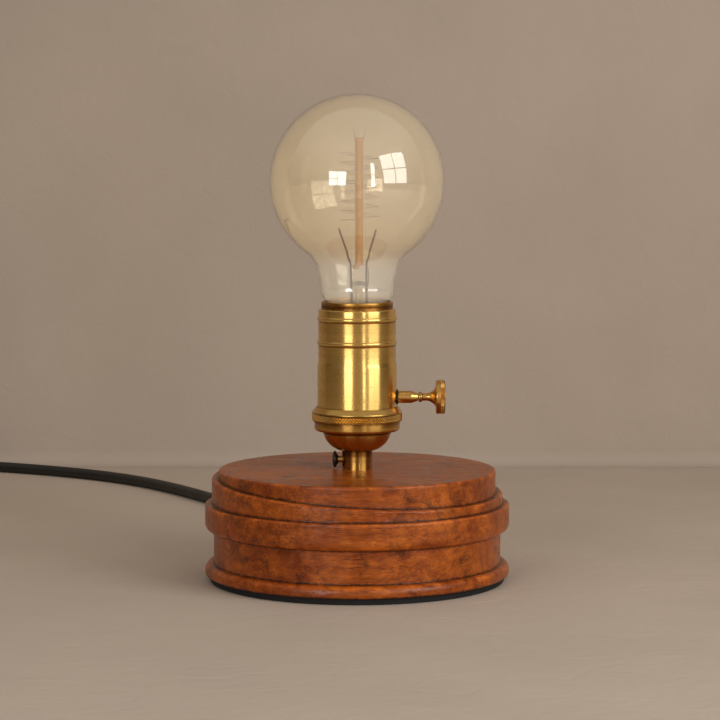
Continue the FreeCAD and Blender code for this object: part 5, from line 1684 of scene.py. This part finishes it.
@dataclass
class TurnSwitch(Assembly):
    """Bearing sleeve with its washer and the turned knob, all on the shaft along +X."""

    height: float = 100.0
    disc: tuple[float, float, float] = (9.25, 43.0, 48.1)
    knurl_pitch: float = 1.0
    knurl_tooth: float = 0.32

    def turned(self, name: str, corners: Sequence[Sequence[float]], pitch: float = 0.8) -> Thing:
        """Turns a piece of the shaft's line."""
        return revolve(name, rounded(corners, pitch, 4), 72, Turned.SIDEWAYS,
                       (0.0, 0.0, self.height))

    def build(self, knurl: Tree) -> None:
        """Builds the sleeve, the washer and the knob.

        Args:
            knurl: Geometry Nodes tree of the knurl.
        """
        sleeve = self.turned("bearing_sleeve", [
            (1.7, 19.3), (2.6, 19.3), (2.6, 22.42), (3.35, 22.42, 0.15), (3.35, 29.6, 0.5),
            (2.1, 33.2, 0.2), (1.7, 33.2)])
        self.seat(sleeve, Finishes.SHAFT_BRASS, "brass", "stem_sleeve")
        washer = self.turned("stem_washer_ring", [
            (2.65, 21.72), (4.2, 21.72, 0.2), (4.2, 22.38, 0.2), (2.65, 22.38)])
        self.seat(washer, Finishes.BLACK_PLASTIC, "black_plastic", "stem_washer")
        self.seat(self.knob(knurl), Finishes.SHAFT_BRASS, "brass", "switch_knob", body="switch")

    def knob(self, knurl: Tree) -> Thing:
        """Turns the collar, stem, trumpet and grip, and knurls the grip's rim.

        Args:
            knurl: Geometry Nodes tree of the knurl.

        Returns:
            The piece.
        """
        radius, start, end = self.disc
        outline = [(0.0, 33.5)]
        outline += rounded([(0.2, 33.5), (2.8, 33.5, 0.35), (2.8, 35.4, 0.35), (0.2, 35.4)],
                           steps=4)[1:-1]
        outline += [(2.1, 35.5), (2.1, 36.2)]
        outline += arc((2.12, 36.4), (3.05, 40.7), (5.74, 43.0), 14)
        base = radius - self.knurl_tooth
        band = start + 2.1
        outline += rounded([(5.8, start), (radius, start, 0.6), (radius, band, 0.1),
                            (base, band + 0.1), (base, end - 0.7), (radius - 0.15, end - 0.6, 0.15),
                            (radius - 0.4, end - 0.15, 0.4), (5.8, end - 0.15)], 0.7, 4)[1:-1]
        outline += arc((radius - 0.9, end - 0.12), (4.6, end - 0.04), (0.0, end), 8)[1:]
        # Painted shade behind the collar, where the trumpet meets the grip and between the knurl's
        # teeth.
        marks = {"crevice": ((2.1, 35.6, 0.7), (5.6, start, 0.8), (base, (band + end) / 2, 1.9))}
        piece = revolve("turn_knob", outline, 96, Turned.UPRIGHT, marks=marks)
        rows = round((end - band - 1.1) / (self.knurl_pitch / 2))
        piece = grow(piece, knurl, Finishes.SHAFT_BRASS, Radius=(base - 0.02) * MM,
                     Start=(band + 0.55) * MM, Pitch=self.knurl_pitch * MM,
                     Tooth=self.knurl_tooth * MM,
                     Around=round(math.tau * base / self.knurl_pitch), Rows=rows)
        piece.data.transform(Matrix.Translation((0, 0, self.height * MM))
                             @ Matrix.Rotation(math.pi / 2, 4, "Y"))
        return piece


@dataclass
class ScrewThread:
    """The E27 round thread, shared by the bulb's cap and the lampholder's screw shell."""

    pitch: float = 3.629
    depth: float = 0.42

    def radius(self, middle: float, angle: float, height: float, fade: float = 1.0) -> float:
        """Gives the thread's radius.

        Args:
            middle: Mean radius.
            angle: Angle round the axis.
            height: Height of the point.
            fade: 1 in the thread and 0 where it has run out.

        Returns:
            The radius.
        """
        return middle + self.depth * fade * math.cos(math.tau * height / self.pitch - angle)

    def span(self, low: float, high: float, step: float = 0.36) -> list[float]:
        """Gives heights that are fine enough for the thread, both ends included."""
        count = round((high - low) / step)
        return [low + (high - low) * part / count for part in range(count + 1)]

    def faded(self, heights: Sequence[float]) -> list[tuple[float, float]]:
        """Pairs each height with the thread's depth there, from 0 at the ends to 1."""
        last = len(heights) - 1
        return [(height, min(1.0, at / 4, (last - at) / 4)) for at, height in enumerate(heights)]


@dataclass
class GlobeBulb(Assembly):
    """Clear globe bulb with its stained glass, screw cap, stem, rod, leads, hooks and filament."""

    globe_radius: float = 47.5
    globe_height: float = 217.1
    throat: Point = (22.1, 170.0)
    lean: float = 13.0
    waist: float = 160.4
    collar: Point = (12.35, 150.5)
    foot: float = 146.0
    wall: float = 0.9
    bulge: Point = (2.4, -1.9)
    cap_radius: float = 12.95
    cap: tuple[float, float] = (124.8, 150.0)
    cap_foot: float = 7.95
    tip: tuple[float, float] = (4.6, 122.0)
    axis: float = 1.1
    stem_radius: float = 5.2
    pinch: tuple[float, float] = (161.0, 172.6)
    pinch_half: tuple[float, float] = (5.3, 2.5)
    rod_radius: float = 2.1
    rod_top: float = 241.0
    filament_radius: float = 10.4
    filament_bottom: float = 196.4
    filament_pitch: float = 5.2
    hooks_per_turn: int = 5
    hook_turns: int = 7
    first_hook: float = 200.0
    lead_wire: float = 0.55
    stub_wire: float = 0.26
    crown_wire: float = 0.16
    hook_wire: float = 0.08
    hook_bead: float = 0.34
    filament_wire: float = 0.09
    thread: ScrewThread = field(default_factory=ScrewThread)

    def glass_side(self, inset: float) -> list[Point]:
        """Gives half of the bulb's outline, from the crown to the foot.

        Args:
            inset: How far the outline lies inside the glass's outer face.

        Returns:
            The outline's points.
        """
        lean = math.radians(self.lean)
        outward = Vector((math.cos(lean), -math.sin(lean)))
        centre, throat = Vector((0.0, self.globe_height)), Vector(self.throat)
        away, globe = throat - centre, self.globe_radius
        curl = (away.dot(away) - globe ** 2) / (2 * (globe - outward.dot(away)))
        hub = throat + outward * curl
        to_globe = (centre - hub).normalized()
        globe_end = hub + to_globe * (curl + inset)
        throat_end = hub - outward * (curl + inset)
        bend = hub + (to_globe - outward).normalized() * (curl + inset)
        crown = centre + Vector((0.0, globe - inset))
        flank = centre + ((globe_end - centre).normalized() + Vector((0.0, 1.0))).normalized() \
            * (globe - inset)
        drop = self.throat[1] - self.waist
        waist = throat_end - Vector((drop * math.tan(lean), drop))
        foot_top = Vector((self.collar[0] - inset, self.collar[1] + inset / 2))
        shoulder = (waist + foot_top) * 0.5 + Vector(self.bulge)
        points = arc(tuple(crown), tuple(flank), tuple(globe_end), 56)
        points += arc(tuple(globe_end), tuple(bend), tuple(throat_end), 12)[1:]
        points += [tuple(throat_end.lerp(waist, part / 4)) for part in range(1, 4)]
        points += arc(tuple(waist), tuple(shoulder), tuple(foot_top), 12)
        return [*points, (self.collar[0] - inset, self.foot)]

    def build(self, hooks: Tree) -> None:
        """Builds the whole bulb.

        Args:
            hooks: Geometry Nodes tree of the hooks.
        """
        outer, inner = self.glass_side(0.0), self.glass_side(self.wall)
        outer[0], inner[0] = (0.0, outer[0][1]), (0.0, inner[0][1])
        glass = revolve("globe_glass", outer + inner[::-1], 160)
        self.seat(glass, Finishes.GLOBE, "bulb_glass", "bulb_glass", body="bulb")
        self.base()
        self.mount()
        self.wiring(hooks)

    def base(self) -> None:
        """Builds the threaded cap, its black glass insulator and the contact."""
        low, high = self.cap
        heights = self.thread.faded(self.thread.span(low + 3.2, high - 5.0))

        def outline(angle: float) -> list[Point]:
            """Gives the cap's outline at an angle.

            Args:
                angle: Angle round the axis.

            Returns:
                Points of the closed outline.
            """
            outside = [(self.cap_foot, low), (self.cap_foot + 2.6, low + 0.9),
                       (self.cap_radius - 1.2, low + 2.2)]
            outside += [(self.thread.radius(self.cap_radius - 0.43, angle, height, fade), height)
                        for height, fade in heights]
            outside += [(self.cap_radius - 0.25, high - 4.3), (self.cap_radius, high - 3.9),
                        (self.cap_radius, high - 0.3), (self.cap_radius - 0.2, high)]
            inside = [(self.collar[0] + 0.05, high), (self.collar[0] + 0.05, high - 5.0)]
            inside += [(self.thread.radius(self.cap_radius - 0.8, angle, height, fade), height)
                       for height, fade in reversed(heights)]
            return [*outside, *inside, (self.cap_radius - 1.9, low + 2.5),
                    (self.cap_foot, low + 0.6)]

        cap = revolve("threaded_bulb_cap", outline, 96)
        self.seat(cap, Finishes.CONTACT_BRASS, "contact_brass", "bulb_cap", body="bulb")
        tip_radius, tip = self.tip
        vitrite = revolve("vitrite_insulator", rounded([
            (0.0, tip + 1.0), (tip_radius, tip + 1.0), (self.cap_foot, low, 0.3),
            (self.cap_foot, low + 0.6), (0.0, low + 0.6)], 1.0), 64)
        self.seat(vitrite, Finishes.INSULATOR, "insulator", "cap_insulator", body="bulb")
        contact = revolve("bulb_tip_contact", rounded([
            (0.0, tip), (2.6, tip, 0.3), (tip_radius, tip + 0.6, 0.3), (tip_radius, tip + 1.0),
            (0.0, tip + 1.0)], 1.0), 48)
        self.seat(contact, Finishes.NICKEL, "nickel", "bulb_contact", body="bulb_tip")

    def mount(self) -> None:
        """Builds the glass stem with its pinch, the exhaust tube and the amber rod."""
        low, high = self.pinch
        stem, foot = self.stem_radius, self.foot
        tube = revolve("stem", rounded([
            (9.3, foot), (10.2, foot, 0.3), (10.2, foot + 1.0, 0.4), (stem, foot + 5.5, 2.0),
            (stem, low + 0.4), (stem - 0.9, low + 0.4), (stem - 0.9, foot + 5.0, 1.6)], 1.5, 6),
            64, at=(self.axis, 0.0, 0.0))
        sections = []
        wide, deep = self.pinch_half
        for at, width, depth, power in ((low - 0.6, 4.7, 4.7, 2.0), (low + 0.5, 4.95, 4.1, 2.2),
                                        (low + 2.2, wide, 2.7, 3.6), (low + 4.0, wide, 2.35, 4.5),
                                        (high - 3.0, wide, deep, 4.5), (high - 1.0, wide, 2.4, 4.0),
                                        (high - 0.3, 4.9, 2.1, 3.4), (high, 4.2, 1.7, 3.0)):
            sections.append([(self.axis + x, y, at) for x, y in superellipse(width, depth, power)])
        pinched = join("pinched_glass_stem", [tube, loft("pinch", sections)])
        self.seat(pinched, Finishes.STEM, "clear_glass", "glass_stem", body="bulb")
        exhaust = revolve("exhaust_glass_tube", rounded([
            (1.4, 128.4), (2.0, 128.4, 0.2), (2.0, low - 0.8), (1.4, low - 0.8)], 3.0), 32,
            at=(self.axis, 0.0, 0.0))
        self.seat(exhaust, Finishes.STEM, "clear_glass", "exhaust_tube", body="bulb")
        radius = self.rod_radius
        side = [(0.0, high), (radius, high)]
        for boss in (self.globe_height - 8.5, self.rod_top - 1.2):
            side += arc((radius, boss - 1.3), (radius + 0.22, boss), (radius, boss + 1.3), 6)
        side = [point for point in side if point[1] <= self.rod_top]
        side += [(radius - 0.3, self.rod_top), (0.0, self.rod_top)]
        rod = revolve("rod", side, 40, at=(self.axis, 0.0, 0.0))
        melt = revolve("melt", [(0.0, high - 2.4), *arc((0.1, high - 2.4), (1.9, high - 0.9),
                                                       (0.1, high + 0.6), 14), (0.0, high + 0.6)],
                       32, at=(self.axis - 1.6, -0.6, 0.0))
        rod = join("amber_support_rod", [rod, melt])
        self.seat(rod, Finishes.ROD, "amber_glass", "support_rod", body="bulb")

    def wiring(self, hooks: Tree) -> None:
        """Builds the leads, the hooks with the crown wires, and the filament.

        Args:
            hooks: Geometry Nodes tree of the hooks.
        """
        low, high = self.pinch
        front = -self.pinch_half[1] - 0.5
        top = self.globe_height
        leads = []
        for foot_x, knee_x, top_x, drop in ((-2.9, -3.4, -9.9, 25.4), (5.2, 5.0, 10.3, 25.9)):
            leads.append([(foot_x, -4.3, self.foot + 6.3), (foot_x, -4.3, low + 0.5),
                          (knee_x, front, low + 4.0), (knee_x, front, high + 0.5),
                          (knee_x + (top_x - knee_x) * 0.08, front * 0.9, high + 2.4),
                          (top_x, 0.0, top - drop)])
        x = self.axis
        ring = [(x + 2.0 * math.cos(math.tau * step / 16), 2.0 * math.sin(math.tau * step / 16),
                 low + 0.2) for step in range(17)]
        stubs = [ring, [(x - 0.4, -2.6, low + 2.4), (4.6, -3.1, low + 0.4)],
                 [(4.9, front, high - 3.0), (5.1, front, high - 1.9),
                  (6.2, front, high - 2.4), (6.2, front, low + 1.2)]]
        lead = join("oxidised_leads", [plain(strand("leads", leads, self.lead_wire), WIRE_SHARP),
                                       plain(strand("stubs", stubs, self.stub_wire), WIRE_SHARP)])
        self.seat(lead, Finishes.LEADS, "lead_metal", "lead_wires", body="bulb")
        count = self.hooks_per_turn * self.hook_turns + 1
        crown = self.rod_radius + 0.16
        crowns = []
        for side, lean in ((-1, -0.1), (1, 0.22)):
            x = self.axis + side * crown
            crowns.append([(x, 0.0, self.rod_top - 1.5), (x + lean * 2, 0.0, self.rod_top + 1.0),
                           (x + lean * 6.4, 0.0, self.rod_top + 5.1)])
        piece = plain(strand("filament_hooks", crowns, self.crown_wire), WIRE_SHARP)
        piece.data.transform(Matrix.Translation((-self.axis * MM, 0, 0)))
        piece = grow(piece, hooks, Finishes.HOOKS, Radius=(self.rod_radius - 0.1) * MM,
                     Length=(self.filament_radius - self.rod_radius + 0.1) * MM,
                     Wire=self.hook_wire * MM,
                     Bead=self.hook_bead * MM, Start=self.filament_bottom * MM,
                     Rise=self.filament_pitch / self.hooks_per_turn * MM,
                     First=math.radians(self.first_hook), Step=math.tau / self.hooks_per_turn,
                     Count=count)
        piece.data.transform(Matrix.Translation((self.axis * MM, 0, 0)))
        self.seat(piece, Finishes.HOOKS, "hook_metal", "hook_wires", body="bulb")
        points = []
        for number in range(count):
            angle = math.radians(self.first_hook) + math.tau * number / self.hooks_per_turn
            rise = self.filament_bottom + self.filament_pitch * number / self.hooks_per_turn
            points.append((self.axis + self.filament_radius * math.cos(angle),
                           self.filament_radius * math.sin(angle), rise))
        thread = plain(strand("carbon_filament", [points], self.filament_wire, bend=False),
                       WIRE_SHARP)
        self.seat(thread, Finishes.FILAMENT, "filament_carbon", "filament", body="bulb")


@dataclass
class InnerParts(Assembly):
    """What the wood and the brass hide: the threaded screw shell and dressed CAD pieces."""

    screw_bore: float = 13.25
    screw_wall: float = 0.5
    screw_low: float = 117.4
    screw_high: float = 147.0
    boss_radius: float = 6.6
    thread: ScrewThread = field(default_factory=ScrewThread)

    def build(self, nodes: dict[str, Thing]) -> None:
        """Builds the screw shell and dresses the CAD pieces that keep their shape.

        Args:
            nodes: CAD pieces by name.
        """
        self.screw_shell()
        dressed = {
            Finishes.ZINC: ("threaded_pipe", "pipe_washer", "pipe_nut", "housing_screws"),
            Finishes.CONTACT_BRASS: ("terminal_screws", "centre_contact", "switch_shaft"),
            Finishes.CERAMIC: ("socket_body",),
            Finishes.FIBRE: ("insulating_liner",),
            Finishes.BAKED_PLASTIC: ("switch_housing", "switch_cover", "switch_rotor"),
            Finishes.BLACK_PLASTIC: ("cord_collar",),
            Finishes.CORD: ("inner_cord",),
            Finishes.BROWN_WIRE: ("live_wire",),
            Finishes.BLUE_WIRE: ("neutral_wire",),
        }
        for finish, names in dressed.items():
            for name in names:
                nodes[name].data.materials.clear()
                nodes[name].data.materials.append(finish.material())
                LOG.info("%s keeps its shape in %s", name, finish.name)

    def screw_shell(self) -> None:
        """Rolls the screw shell, whose thread runs with the bulb's."""
        middle = self.screw_bore - self.thread.depth
        heights = self.thread.faded(self.thread.span(self.screw_low + 4.0, self.screw_high - 2.5))

        def outline(angle: float) -> list[Point]:
            """Gives the screw shell's outline at an angle.

            Args:
                angle: Angle round the axis.

            Returns:
                Points of the closed outline.
            """
            low, high, wall = self.screw_low, self.screw_high, self.screw_wall
            rim = self.screw_bore
            inside, outside = [], []
            for height, fade in heights:
                near = rim - (rim - middle) * fade
                inside.append((self.thread.radius(near, angle, height, fade), height))
                outside.append((self.thread.radius(near + wall, angle, height, fade), height))
            return [(self.boss_radius, low), (rim + wall - 0.4, low), (rim + wall, low + 0.4),
                    *outside, (rim + wall, high), (rim, high), *inside[::-1],
                    (rim, low + wall), (self.boss_radius, low + wall)]

        shell = revolve("threaded_screw_shell", outline, 96)
        self.seat(shell, Finishes.CONTACT_BRASS, "contact_brass", "screw_shell")


def main() -> None:
    """Builds the camera and the cord first, then the lamp from the table up."""
    logging.basicConfig(level=logging.INFO, format="%(message)s")
    for leftover in [thing for thing in bpy.data.objects if thing.type in {"LIGHT", "CAMERA"}]:
        bpy.data.objects.remove(leftover)
    Studio().build()
    MainsCord().build()
    WoodenBase().build()
    knurl = knurl_tree()
    Lampholder().build(knurl)
    LockScrew().build()
    TurnSwitch().build(knurl)
    InnerParts().build(frame["nodes"])
    GlobeBulb().build(hook_tree())


if __name__ == "__main__":
    main()
